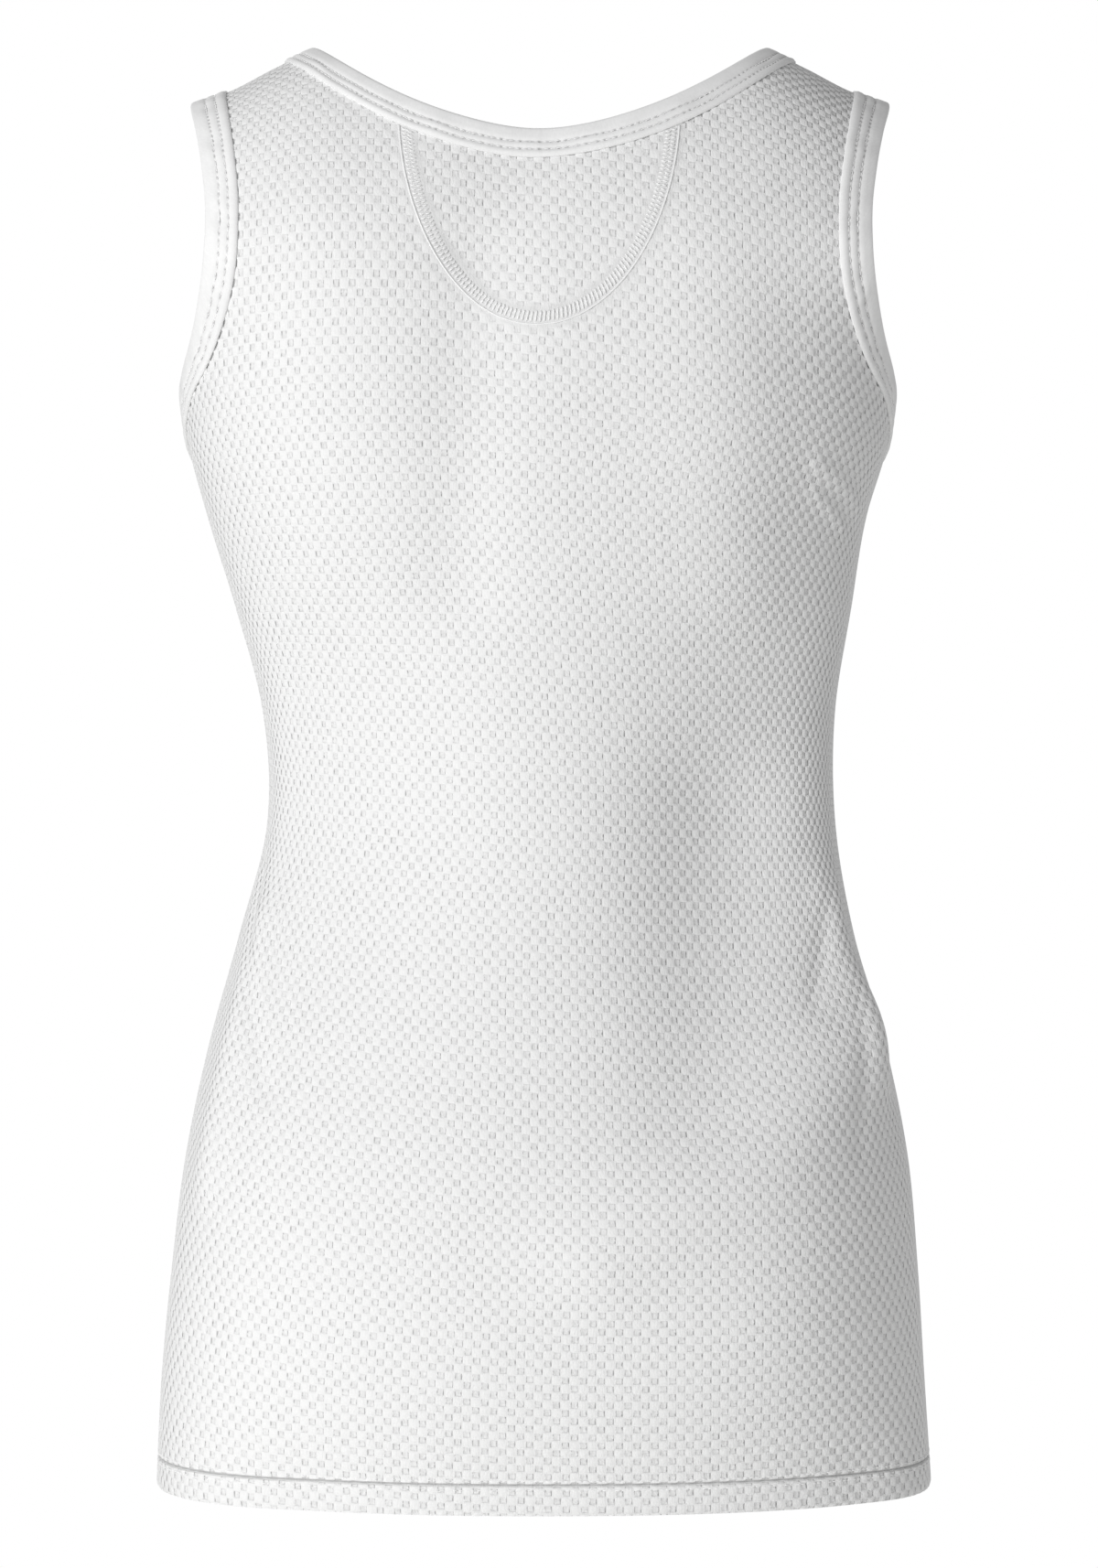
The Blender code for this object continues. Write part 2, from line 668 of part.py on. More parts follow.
def main():
    for old in list(bpy.data.objects):
        bpy.data.objects.remove(old, do_unlink=True)
    garment = bpy.data.objects.new("base_layer", None)
    bpy.context.scene.collection.objects.link(garment)
    mesh_knit = material("mesh_knit", KNIT_COLOUR)
    plain_knit = material("binding_knit", BINDING_COLOUR)

    back_neck, front_neck = neck_rows("back"), neck_rows("front")
    back_arm, front_arm = armhole_rows("back"), armhole_rows("front")
    panel_solid("back", "back", body_sheet("back", back_neck["neck"], back_arm), mesh_knit, garment)
    panel_solid("yoke", "back", yoke_sheet(back_neck["yoke"]), mesh_knit, garment)
    panel_solid("front", "front", body_sheet("front", front_neck["neck"], front_arm), mesh_knit, garment)

    left = [("back", *back_neck["yoke"], False), ("back", *back_neck["neck"], False),
            ("front", *front_neck["neck"], True)]
    right = []
    for side, edge, lap, turned in left[::-1]:
        aside = edge[:, 0] > 0      # the points on the centre line are there already
        right.append((side, mirrored(edge[aside]), mirrored(lap[aside]), not turned))
    binding_solid("neck_binding", left + right, plain_knit, garment)
    for name, turn in (("armhole_binding_left", np.array), ("armhole_binding_right", mirrored)):
        rows = [("back", turn(back_arm[0]), turn(back_arm[1]), False),
                ("front", turn(front_arm[0]), turn(front_arm[1]), True)]
        binding_solid(name, rows, plain_knit, garment)


main()
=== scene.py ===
"""A women's sleeveless base layer of white mesh knit, filled out as worn and seen from its back."""

from collections import namedtuple

import bpy
import numpy as np
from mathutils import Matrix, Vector


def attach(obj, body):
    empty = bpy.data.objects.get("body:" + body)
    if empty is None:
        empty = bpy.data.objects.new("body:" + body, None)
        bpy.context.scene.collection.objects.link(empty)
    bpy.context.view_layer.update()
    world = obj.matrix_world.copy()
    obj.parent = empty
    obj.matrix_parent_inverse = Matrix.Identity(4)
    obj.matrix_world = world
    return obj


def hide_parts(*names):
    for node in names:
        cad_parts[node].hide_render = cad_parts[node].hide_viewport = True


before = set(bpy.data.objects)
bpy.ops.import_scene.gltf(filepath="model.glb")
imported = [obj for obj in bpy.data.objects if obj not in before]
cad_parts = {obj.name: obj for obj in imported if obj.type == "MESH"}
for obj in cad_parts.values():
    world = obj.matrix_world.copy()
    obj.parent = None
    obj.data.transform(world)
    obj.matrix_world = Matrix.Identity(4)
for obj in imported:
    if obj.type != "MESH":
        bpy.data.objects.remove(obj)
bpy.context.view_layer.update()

# ---- The form of the worn cloth ----
# Every panel is drawn flat, in metres: across from its centre line, + to the wearer's left, and up.
# Level sections carry it round the body to DOME, and from there it arches over to the shoulder ridge.
Section = namedtuple("Section", "height centre half_width back front hollow")
SECTIONS = [
    Section(-0.620, 0.0022, 0.1680, 0.1185, 0.1090, 0.004),
    Section(-0.574, 0.0026, 0.1654, 0.1205, 0.1090, 0.004),
    Section(-0.526, 0.0018, 0.1617, 0.1200, 0.1080, 0.004),
    Section(-0.478, 0.0010, 0.1566, 0.1130, 0.1050, 0.006),
    Section(-0.430, 0.0008, 0.1468, 0.1010, 0.1010, 0.010),
    Section(-0.382, 0.0010, 0.1334, 0.0905, 0.0970, 0.014),
    Section(-0.334, -0.0010, 0.1234, 0.0865, 0.0955, 0.016),
    Section(-0.286, 0.0000, 0.1242, 0.0885, 0.1020, 0.014),
    Section(-0.240, 0.0024, 0.1337, 0.0960, 0.1140, 0.009),
    Section(-0.200, 0.0052, 0.1432, 0.1035, 0.1200, 0.004),
    Section(-0.170, 0.0048, 0.1516, 0.1065, 0.1180, 0.001),
    Section(-0.146, 0.0048, 0.1548, 0.1070, 0.1140, 0.000),
]
HEM = SECTIONS[0].height
DOME = SECTIONS[-1].height
ROUND = 2.6             # the sections' roundness: 2 is an ellipse, more is squarer
Shoulder = namedtuple("Shoulder", "out height")
SHOULDER = [
    Shoulder(0.000, 0.0040),
    Shoulder(0.070, 0.0030),
    Shoulder(0.098, -0.0015),
    Shoulder(0.114, -0.0088),
    Shoulder(0.131, -0.0175),
    Shoulder(0.150, -0.0245),
    Shoulder(0.170, -0.0300),
]
RIDGE_BACK = 0.018      # how far the shoulder seams' plane is behind the side seams'
RIDGE_ASIDE = 0.0038    # how far the shoulders' middle is from the hips': the worn garment leans
FULLNESS = {"back": 0.36, "front": 1.10}    # how square the cloth stays towards its armholes
FULL_AFTER = 0.30       # the share of the dome's arc over which that squareness comes in
OUTWARD = {"back": 1.0, "front": -1.0}      # which way in Y each panel faces

# Soft ridges (+) and troughs (-), from one flat point to another. The wide ones are the solids'
# own; those under 12 mm wide are creases of the cloth alone.
Fold = namedtuple("Fold", "across up to_across to_up half_width height")
FOLDS = {
    "back": [
        Fold(-0.004, -0.050, 0.010, -0.080, 0.020, -0.0028),
        Fold(0.021, -0.110, 0.030, -0.235, 0.018, -0.0044),
        Fold(0.074, -0.100, 0.082, -0.220, 0.030, 0.0030),
        Fold(-0.062, -0.110, -0.072, -0.225, 0.026, 0.0032),
        Fold(-0.062, -0.330, -0.060, -0.455, 0.030, -0.0060),
        Fold(-0.140, -0.425, -0.020, -0.510, 0.024, 0.0055),
        Fold(0.120, -0.375, 0.150, -0.480, 0.014, 0.0030),
        Fold(-0.125, -0.365, -0.145, -0.440, 0.013, 0.0030),
        Fold(-0.088, -0.495, -0.086, -0.535, 0.040, 0.0050),
        Fold(0.080, -0.620, -0.120, -0.617, 0.030, -0.0045),
        Fold(0.142, -0.356, 0.110, -0.446, 0.006, -0.0013),
        Fold(-0.124, -0.360, -0.106, -0.408, 0.006, -0.0010),
        Fold(-0.132, -0.410, -0.126, -0.470, 0.006, -0.0011),
        Fold(-0.1105, -0.182, -0.150, -0.199, 0.004, 0.0012),
        Fold(-0.1115, -0.1945, -0.134, -0.2075, 0.003, 0.0010),
    ],
    "front": [
        Fold(0.070, -0.260, 0.115, -0.205, 0.020, 0.0030),
        Fold(-0.062, -0.270, -0.120, -0.212, 0.020, 0.0032),
        Fold(0.012, -0.300, -0.020, -0.440, 0.030, -0.0035),
        Fold(0.110, -0.370, 0.060, -0.470, 0.022, 0.0035),
        Fold(-0.105, -0.380, -0.050, -0.490, 0.024, 0.0030),
        Fold(0.135, -0.352, 0.108, -0.425, 0.006, -0.0015),
        Fold(-0.138, -0.345, -0.112, -0.402, 0.007, -0.0016),
        Fold(-0.146, -0.398, -0.128, -0.462, 0.006, -0.0013),
        Fold(0.118, -0.196, 0.152, -0.207, 0.004, 0.0011),
        Fold(-0.112, -0.190, -0.149, -0.205, 0.004, 0.0012),
    ],
}
FADE_ASIDE = 0.12       # folds fade over this share of the half girth before a side seam,
FADE_UP = 0.05          # and over this length below the shoulder ridge


def smooth(x, y, at):
    """A smooth curve through the values y at x, read at some places."""
    slope = np.gradient(y, x)
    at = np.clip(at, x[0], x[-1])
    i = np.clip(np.searchsorted(x, at) - 1, 0, len(x) - 2)
    step = x[i + 1] - x[i]
    t = (at - x[i]) / step
    start = (1 + 2 * t) * (1 - t) ** 2 * y[i] + t * (1 - t) ** 2 * step * slope[i]
    return start + t * t * (3 - 2 * t) * y[i + 1] + t * t * (t - 1) * step * slope[i + 1]


def column(rows, name, at):
    """One column of a table, read smoothly between its rows."""
    return smooth(np.array([row[0] for row in rows]), np.array([getattr(row, name) for row in rows]), at)


def unit_quarter():
    """A quarter of the unit superellipse, from (1, 0) to (0, 1), and the share of its length."""
    turn = np.pi / 4 * (1 - np.cos(np.linspace(0, np.pi, 2001)))
    falling = np.cos(turn).clip(0) ** (2 / ROUND)
    rising = np.sin(turn).clip(0) ** (2 / ROUND)
    length = np.append(0, np.cumsum(np.hypot(np.diff(falling), np.diff(rising))))
    return falling, rising, length / length[-1], length[-1]


FALLING, RISING, SHARE, UNIT_LENGTH = unit_quarter()
LENGTH_POWER = np.log(2) / np.log(UNIT_LENGTH)


def quarter(share):
    """The two coordinates of the unit quarter at a share of its length."""
    return np.interp(share, SHARE, FALLING), np.interp(share, SHARE, RISING)


def quarter_length(a, b):
    """The length of a quarter with half axes a and b."""
    return (np.abs(a) ** LENGTH_POWER + np.abs(b) ** LENGTH_POWER) ** (1 / LENGTH_POWER)


def half_girth(side, up):
    """A panel's flat width from its centre line to its side seam."""
    up = np.minimum(up, DOME)
    return quarter_length(column(SECTIONS, "half_width", up), column(SECTIONS, side, up))


def dome(side, share_out):
    """The dome's depth from the ridge, its height and its length, at a share of the half girth."""
    falling, rising = quarter(share_out)
    base = SECTIONS[-1]
    depth = getattr(base, side) * falling ** FULLNESS[side] - OUTWARD[side] * RIDGE_BACK
    height = column(SHOULDER, "height", base.half_width * rising) - DOME
    return depth, height, quarter_length(depth, height)


def ridge(side, across):
    """The flat height of the shoulder ridge."""
    return DOME + dome(side, np.abs(across) / half_girth(side, DOME))[2]


def eased(t):
    """A soft step from 0 to 1."""
    t = np.clip(t, 0, 1)
    return t * t * (3 - 2 * t)


def base_form(side, across, up):
    """Flat points bent round the body, without folds. Past a seam the form goes on, mirrored."""
    level = np.minimum(up, DOME)
    share_out = np.abs(across) / half_girth(side, up)
    beyond = np.where(share_out > 1, -1.0, 1.0)
    share_out = np.where(share_out > 1, 2 - share_out, share_out)
    falling, rising = quarter(share_out)
    aside = np.sign(across) * column(SECTIONS, "half_width", level) * rising
    hollow = column(SECTIONS, "hollow", level) * 4 * rising ** 2 * (1 - rising ** 2)
    out = column(SECTIONS, side, level) * falling - hollow
    _, height, length = dome(side, share_out)
    share_up = np.maximum(up - DOME, 0) / length
    over = np.where(share_up > 1, -1.0, 1.0)
    share_up = np.where(share_up > 1, 2 - share_up, share_up)
    down, climb = quarter(share_up)
    fullness = 1 + (FULLNESS[side] - 1) * eased(share_up / FULL_AFTER)
    full_out = getattr(SECTIONS[-1], side) * falling ** fullness
    from_ridge = OUTWARD[side] * RIDGE_BACK
    domed = from_ridge + over * (full_out - from_ridge) * down
    lean = np.where(up > DOME, climb * (RIDGE_ASIDE - SECTIONS[-1].centre), 0)
    x = column(SECTIONS, "centre", level) + aside + lean
    y = OUTWARD[side] * beyond * np.where(up > DOME, domed, out)
    z = np.where(up > DOME, DOME + height * climb, up)
    return np.stack([x - RIDGE_ASIDE, y - RIDGE_BACK, z], axis=-1)


def normal(side, across, up, surface):
    """The outward normal of a surface at flat points."""
    step = 0.0005
    along = surface(side, across + step, up) - surface(side, across - step, up)
    upward = surface(side, across, up + step) - surface(side, across, up - step)
    n = np.cross(upward, along) * OUTWARD[side]
    return n / np.linalg.norm(n, axis=-1, keepdims=True)


def fold_height(side, across, up):
    """How far the folds lift the cloth; they fade out before the seams."""
    lift = np.zeros(np.shape(across))
    for fold in FOLDS[side]:
        run = np.array([fold.to_across - fold.across, fold.to_up - fold.up])
        length = np.hypot(*run)
        run = run / length
        away = np.stack([across - fold.across, up - fold.up], axis=-1)
        past = away @ run
        aside = away @ np.array([-run[1], run[0]])
        beyond = np.maximum(np.maximum(-past, past - length), 0)
        lift = lift + fold.height * np.exp(-(aside ** 2 + beyond ** 2) / fold.half_width ** 2)
    to_side = eased((1 - np.abs(across) / half_girth(side, up)) / FADE_ASIDE)
    return lift * to_side * eased((ridge(side, across) - up) / FADE_UP)


def form(side, across, up):
    """Flat points on the worn cloth's middle."""
    lift = fold_height(side, across, up)[..., None]
    return base_form(side, across, up) + normal(side, across, up, base_form) * lift


def place(side, flat, lift):
    """Flat points in space, moved out from the cloth's middle by lift, one value or one each."""
    across, up = flat[:, 0], flat[:, 1]
    lift = np.broadcast_to(lift, across.shape)[:, None]
    return form(side, across, up) + normal(side, across, up, form) * lift


# ---- The pattern's lines ----
# Where the panels are cut: the raw edges of neck and armholes, the lap rows that the bindings
# reach to, and the half-moon's seam on the back. All are flat curves on the wearer's left.
WALL = 0.0010
NECK_DROP = 0.0432
NECK_HALF_WIDTH = 0.1010
NECK_TOP = 0.0994
NECK_DROP_FRONT = 0.100
NECK_ROUND_FRONT = 2.3
NECK_LAP = 0.0118
YOKE_TOP = -0.032
YOKE_HALF_WIDTH = 0.0562
YOKE_DEPTH = 0.0914
ARMHOLE_LAP = 0.0140
Armhole = namedtuple("Armhole", "inset height")
ARMHOLE = [
    Armhole(0.0565, 0.0100),
    Armhole(0.0585, -0.0300),
    Armhole(0.0680, -0.0420),
    Armhole(0.0748, -0.0570),
    Armhole(0.0793, -0.0770),
    Armhole(0.0780, -0.0970),
    Armhole(0.0726, -0.1120),
    Armhole(0.0628, -0.1270),
    Armhole(0.0430, -0.1415),
    Armhole(0.0230, -0.1500),
    Armhole(0.0000, -0.1580),
    Armhole(-0.0200, -0.1620),
    Armhole(-0.0400, -0.1590),
    Armhole(-0.0580, -0.1450),
    Armhole(-0.0720, -0.1220),
    Armhole(-0.0770, -0.0950),
    Armhole(-0.0740, -0.0680),
    Armhole(-0.0660, -0.0440),
    Armhole(-0.0600, -0.0300),
    Armhole(-0.0579, 0.0100),
]
SIDES = ("back", "front")


def mirrored(curve):
    """A flat curve brought over to the wearer's right."""
    return curve * np.array([-1, 1])


def on_both_sides(half):
    """A flat curve that ends on the centre line, joined to its mirror image."""
    return np.vstack([mirrored(half), half[-2::-1]])


def spaced(curve, count):
    """The curve's points set anew, evenly spaced."""
    length = np.append(0, np.cumsum(np.linalg.norm(np.diff(curve, axis=0), axis=1)))
    at = np.linspace(0, length[-1], count)
    return np.stack([np.interp(at, length, values) for values in curve.T], axis=-1)


def smooth_curve(points, count):
    """A smooth curve through a few points."""
    points = np.array(points)
    length = np.append(0, np.cumsum(np.hypot(*np.diff(points, axis=0).T)))
    at = np.linspace(0, length[-1], count)
    return np.stack([smooth(length, values, at) for values in points.T], axis=-1)


def until(curve, value):
    """The curve's stretch up to where a value, + at its start, falls to 0."""
    i = int(np.argmax(value <= 0))
    t = value[i - 1] / (value[i - 1] - value[i])
    return np.vstack([curve[:i], curve[i - 1] + t * (curve[i] - curve[i - 1])])


def flat_up(side, share_out, height):
    """The flat height of a point of the cloth at a real height."""
    _, rise, length = dome(side, share_out)
    climb = np.clip((height - DOME) / rise, 0, 1)
    over = np.maximum(height - DOME - rise, 0)
    on_dome = DOME + np.interp(climb, RISING, SHARE) * length + over
    return np.where(height > DOME, on_dome, height)


def from_behind(side, out, height):
    """Flat points from their distance from the centre line and height, as seen from behind."""
    rising = np.clip(out / column(SECTIONS, "half_width", np.minimum(height, DOME)), 0, 1)
    share_out = np.interp(rising, RISING, SHARE)
    up = flat_up(side, share_out, height)
    return np.stack([share_out * half_girth(side, up), up], axis=-1)


def offset_in_space(surface, curve, turn, distance):
    """A flat curve moved sideways over the cloth by a real distance, in short steps."""
    moved = curve.copy()
    steps, tiny = 8, 0.0004
    for _ in range(steps):
        here = surface(moved)
        along_u = (surface(moved + [tiny, 0]) - here) / tiny
        along_v = (surface(moved + [0, tiny]) - here) / tiny
        run = np.gradient(here, axis=0)
        facing = np.cross(along_u, along_v)
        way = np.cross(facing, run) * turn
        way /= np.linalg.norm(way, axis=-1, keepdims=True)
        uu, uv, vv = (along_u ** 2).sum(-1), (along_u * along_v).sum(-1), (along_v ** 2).sum(-1)
        wu, wv = (way * along_u).sum(-1), (way * along_v).sum(-1)
        det = uu * vv - uv * uv
        flat_way = np.stack([(vv * wu - uv * wv) / det, (uu * wv - uv * wu) / det], axis=-1)
        moved = moved + flat_way * distance / steps
    return moved


def unfolded(side):
    """A panel's form without folds, as what it makes of a flat curve."""
    return lambda curve: base_form(side, curve[:, 0], curve[:, 1])


def neck_curve(side):
    """The raw neck edge from the centre line to a little past the ridge."""
    sweep = np.sin(np.linspace(0, np.pi / 2, 400))
    if side == "back":
        out = NECK_HALF_WIDTH * sweep
        height = -NECK_DROP * (1 - sweep ** 2)
    else:
        out = NECK_TOP * sweep
        height = -NECK_DROP_FRONT * (1 - sweep ** NECK_ROUND_FRONT)
    curve = from_behind(side, out, height)
    curve = curve[curve[:, 1] < ridge(side, curve[:, 0]) - 0.006]
    across = half_girth(side, DOME) * np.interp(NECK_TOP / SECTIONS[-1].half_width, RISING, SHARE)
    top = float(ridge(side, across))
    return np.vstack([curve, [across, top], [across, top + 0.02]])


def armhole_curve():
    """The raw armhole edge as insets from the side seam, + on the back, and flat heights."""
    points = []
    for row in ARMHOLE:
        side = "back" if row.inset >= 0 else "front"
        share_out = 1 - abs(row.inset) / half_girth(side, row.height)
        points.append((row.inset, float(flat_up(side, share_out, row.height))))
    return smooth_curve(points, 500)


def around_side(curve):
    """Where points given by their inset from the side seam lie in space."""
    inset, up = curve[:, 0], curve[:, 1]
    back = base_form("back", half_girth("back", up) - inset, up)
    front = base_form("front", half_girth("front", up) + inset, up)
    return np.where(inset[:, None] >= 0, back, front)


def from_inset(side, curve):
    """Insets from the side seam turned into a panel's own flat points."""
    across = half_girth(side, curve[:, 1]) - OUTWARD[side] * curve[:, 0]
    return np.stack([across, curve[:, 1]], axis=-1)


def yoke_curve():
    """The half-moon's outline, from above the neck down to the centre line."""
    turn = np.linspace(0, np.pi / 2, 120)
    out, down = YOKE_HALF_WIDTH * np.cos(turn), YOKE_DEPTH * np.sin(turn)
    curve = from_behind("back", out, YOKE_TOP - down)
    return np.vstack([curve[:1] + [0, 0.03], curve])


neck_raw = {side: neck_curve(side) for side in SIDES}
neck_lap = {side: offset_in_space(unfolded(side), neck_raw[side], -1, NECK_LAP) for side in SIDES}
for side in SIDES:
    neck_lap[side][0, 0] = 0
neck_outline = {side: on_both_sides(spaced(neck_raw[side], 100)[::-1]) for side in SIDES}
armhole_raw = armhole_curve()
armhole_lap = offset_in_space(around_side, armhole_raw, 1, ARMHOLE_LAP)
yoke_seam = yoke_curve()
yoke_outline = on_both_sides(spaced(yoke_seam, 100))

# ---- Back ----
# One panel of white polyester mesh, circular-knitted in a check of raised blocks and thinner
# recessed squares. It is cut with a U out of its neck for the yoke, and its hem is turned up
# 13 mm inside and held by a twin-needle stitch, which presses a shallow groove into it.
REPEATS = 33            # repeats of the check from the centre line to a side seam
SQUARE = 0.0034         # height of one square: half a repeat
Grain = namedtuple("Grain", "up tilt droop")    # how the check's rows run over the worn back
GRAIN = [
    Grain(-0.62, 0.020, -0.20),
    Grain(-0.57, 0.030, -0.30),
    Grain(-0.46, 0.060, -0.45),
    Grain(-0.38, 0.055, -0.35),
    Grain(-0.30, 0.070, 0.00),
    Grain(-0.22, 0.080, 0.45),
    Grain(-0.14, 0.105, 0.75),
    Grain(-0.08, 0.120, 0.80),
    Grain(0.10, 0.120, 0.80),
]
CENTRE_WIDER = 0.05     # how much wider than even the check lies at the centre line,
WAIST_WIDER = 0.18      # and how much more so at the waist
WAIST = -0.318
WAIST_REACH = 0.09
BODY_DEPTH = 0.70
DOME_DEPTH = 0.83       # and the dome's depth to its height
BLOCK = 0.37            # half width of the flat of a raised block, and of a recess, in squares
RECESS = 0.26
RELIEF = 0.00075        # from a recess to the top of a block
HEM_DEPTH = 0.0130
HEM_GROOVE = 0.0128     # the line that the hem's raw edge presses into the cloth, above its fold
GROOVE_HALF = 0.0009
GROOVE_DEPTH = 0.0009
GROOVE_SHADE = 0.85     # how dark the painted shade is in that line; the next value is the painted shade under the flatlock seam's bars
SEAM_SHADE = 0.22
HEM_ROUND = 0.0007      # how far the cloth is drawn in at the hem's fold,
HEM_INSIDE = 0.0016     # how far in its turned edge lies,
HEM_BEND = 0.0012       # and the height over which it gets there
SEAM_DIP = 0.0009       # how far the cloth is drawn in at a side or shoulder seam,
SEAM_HALF = 0.0016      # and the half width of that dip
SEAM_FADE = 0.0030      # how far from a side seam the check's relief is whole
SEAM_RISE = 0.0003      # how far the panels stand proud under the yoke's flatlock seam,
SEAM_REACH = 0.0045     # how far from its line that goes,
SEAM_EDGE = 0.0015      # and over what width it fades out
FLATTENED = 0.8         # share of the relief that a groove or the flatlock seam takes away
MARGIN = 0.050
SNAP = 0.0004           # points this near to a cut are moved onto it


def check_grid(low, high, half_columns):
    """The check's points, two each way in every square: across and up in squares, and relief."""
    in_row = np.arange(-half_columns, half_columns)
    column_square, row_square = np.meshgrid(np.repeat(in_row, 2), np.repeat(np.arange(low, high), 2))
    column_end = np.tile([-1, 1], len(in_row))[None, :]
    row_end = np.tile([-1, 1], high - low)[:, None]
    raised = (column_square + row_square) % 2 == 0
    half = np.where(raised, BLOCK, RECESS)
    across = column_square + 0.5 + half * column_end
    up = row_square + 0.5 + half * row_end
    relief = np.where(raised, 0.5, -0.5)
    # The first and last columns lie on the side seams.
    across = np.pad(across, ((0, 0), (1, 1)), constant_values=((0, 0), (-half_columns, half_columns)))
    up = np.pad(up, ((0, 0), (1, 1)), mode="edge")
    relief = np.pad(relief, ((0, 0), (1, 1)))
    rows, columns = across.shape
    number = np.arange(rows * columns).reshape(rows, columns)
    corners = [number[:-1, :-1], number[:-1, 1:], number[1:, 1:], number[1:, :-1]]
    faces = np.stack([corner.ravel() for corner in corners], axis=-1)
    squares = np.stack([across.ravel(), up.ravel(), relief.ravel()], axis=-1)
    return squares, [tuple(face) for face in faces.tolist()]


def evened(share, reach):
    """Even shares of a real quarter, reach times as far one way as the other, as the unit one's."""
    length = np.append(0, np.cumsum(np.hypot(np.diff(RISING), reach * np.diff(FALLING))))
    return np.interp(share, length / length[-1], SHARE)


def check_to_flat(side, across, up):
    """Where the worn check lies flat: even over the cloth but for the waist, where it draws apart."""
    share = np.abs(across) / (2 * REPEATS)
    height = up * SQUARE
    # The rows' tilt and droop depend on where they get to, so it is found in a few rounds.
    for _ in range(5):
        spread = CENTRE_WIDER + WAIST_WIDER * np.exp(-((height - WAIST) / WAIST_REACH) ** 2)
        even = share + spread * np.sin(np.pi * share) / np.pi
        at = np.sign(across) * half_girth(side, height) * evened(even, BODY_DEPTH)
        tilt, droop = column(GRAIN, "tilt", height), column(GRAIN, "droop", height)
        height = up * SQUARE + tilt * at * OUTWARD[side] - droop * at ** 2
    over = dome(side, 0)[2]
    climbed = DOME + over * evened(np.clip((height - DOME) / over, 0, 1), DOME_DEPTH)
    climbed = np.where(height > DOME + over, height, climbed)
    return np.stack([at, np.where(height > DOME, climbed, height)], axis=-1)


def beside(curve, flat):
    """How far flat points lie to the left of a curve, or with - to its right."""
    start, run = curve[:-1], np.diff(curve, axis=0)
    length = (run ** 2).sum(1)
    found = []
    for part in np.array_split(flat, max(len(flat) // 4000, 1)):
        away = part[:, None] - start[None]
        t = np.clip((away * run).sum(-1) / length, 0, 1)
        off = away - t[..., None] * run
        nearest = np.argmin((off ** 2).sum(-1), axis=1)
        pick = np.arange(len(part))
        turn = run[nearest, 0] * away[pick, nearest, 1] - run[nearest, 1] * away[pick, nearest, 0]
        found.append(np.sign(turn) * np.sqrt((off[pick, nearest] ** 2).sum(-1)))
    return np.concatenate(found)


def trimmed(points, faces, value):
    """What lies where value is positive. Faces that cross the line are cut along it.

    The first two columns of points are flat; the others are read between points too.
    """
    points = points.copy()
    level = value(points[:, :2])
    near = np.abs(level) < SNAP
    if near.any():
        tiny = 1e-5
        here = points[near, :2]
        slope = [(value(here + move) - level[near]) / tiny for move in ([tiny, 0], [0, tiny])]
        slope = np.stack(slope, axis=-1)
        points[near, :2] -= slope * (level[near] / np.maximum((slope ** 2).sum(-1), 0.1))[:, None]
        level[near] = 0
    rows, added, kept = list(points), {}, []
    sign = np.sign(level).astype(int).tolist()
    for face in faces:
        signs = [sign[i] for i in face]
        if max(signs) <= 0:
            continue
        if min(signs) >= 0:
            kept.append(face)
            continue
        polygon = []
        for a, b in zip(face, face[1:] + face[:1]):
            if sign[a] >= 0:
                polygon.append(a)
            if sign[a] * sign[b] < 0:
                key = (min(a, b), max(a, b))
                if key not in added:
                    added[key] = len(rows)
                    rows.append(points[a] + (points[b] - points[a]) * level[a] / (level[a] - level[b]))
                polygon.append(added[key])
        kept.append(tuple(polygon))
    return compacted(np.array(rows), kept)


def compacted(points, faces):
    """Points and faces without the points that no face uses."""
    used = np.unique(np.concatenate([np.array(face) for face in faces]))
    new = np.full(len(points), -1)
    new[used] = np.arange(len(used))
    new = new.tolist()
    return points[used], [tuple(new[i] for i in face) for face in faces]


def joined(*parts):
    """Several lots of points and faces as one."""
    faces, start = [], 0
    for points, own in parts:
        faces += [tuple(i + start for i in face) for face in own]
        start += len(points)
    return np.vstack([points for points, _ in parts]), faces


def parted(points, faces, up):
    """The two lots that a level line parts, the lower one first."""
    return trimmed(points, faces, lambda p: up - p[:, 1]), trimmed(points, faces, lambda p: p[:, 1] - up)


def cut_panel(side, points, faces):
    """A stretch of the check cut out to a panel's own outline, but for its hem."""
    points, faces = trimmed(points, faces, lambda p: ridge(side, p[:, 0]) - p[:, 1])
    points, faces = trimmed(points, faces, lambda p: -beside(neck_outline[side], p) - WALL)
    arm = from_inset(side, armhole_raw)
    arm = spaced(arm, 120) if side == "back" else spaced(arm[::-1], 120)
    points, faces = trimmed(points, faces, lambda p: -beside(arm, p) - WALL)
    return trimmed(points, faces, lambda p: -beside(arm, mirrored(p)) - WALL)


def build(name, points, faces, map_name, places, cloth, press_and_shade=None):
    """A smooth mesh object, with the cloth's own measures as a map for its material.

    Its last argument gives each point's painted shade, from 0 to 1: in the grooves that stitches press in,
    and under the flatlock's bars.
    """
    mesh = bpy.data.meshes.new(name)
    mesh.from_pydata(points.tolist(), [], faces)
    layer = mesh.uv_layers.new(name=map_name)
    corner = np.empty(len(mesh.loops), dtype=np.int32)
    mesh.loops.foreach_get("vertex_index", corner)
    layer.uv.foreach_set("vector", places[corner].astype(np.float32).ravel())
    if press_and_shade is not None:
        depth = mesh.attributes.new("press_and_shade", "FLOAT", "POINT")
        depth.data.foreach_set("value", press_and_shade.astype(np.float32))
    mesh.materials.append(cloth)
    mesh.shade_smooth()
    mesh.update()
    built = bpy.data.objects.new(name, mesh)
    bpy.context.scene.collection.objects.link(built)
    return built


def linear(colour):
    """An sRGB hex colour as the linear values that shaders take."""
    parts = [int(colour[i:i + 2], 16) / 255 for i in (1, 3, 5)]
    return tuple(c / 12.92 if c <= 0.04045 else ((c + 0.055) / 1.055) ** 2.4 for c in parts) + (1.0,)


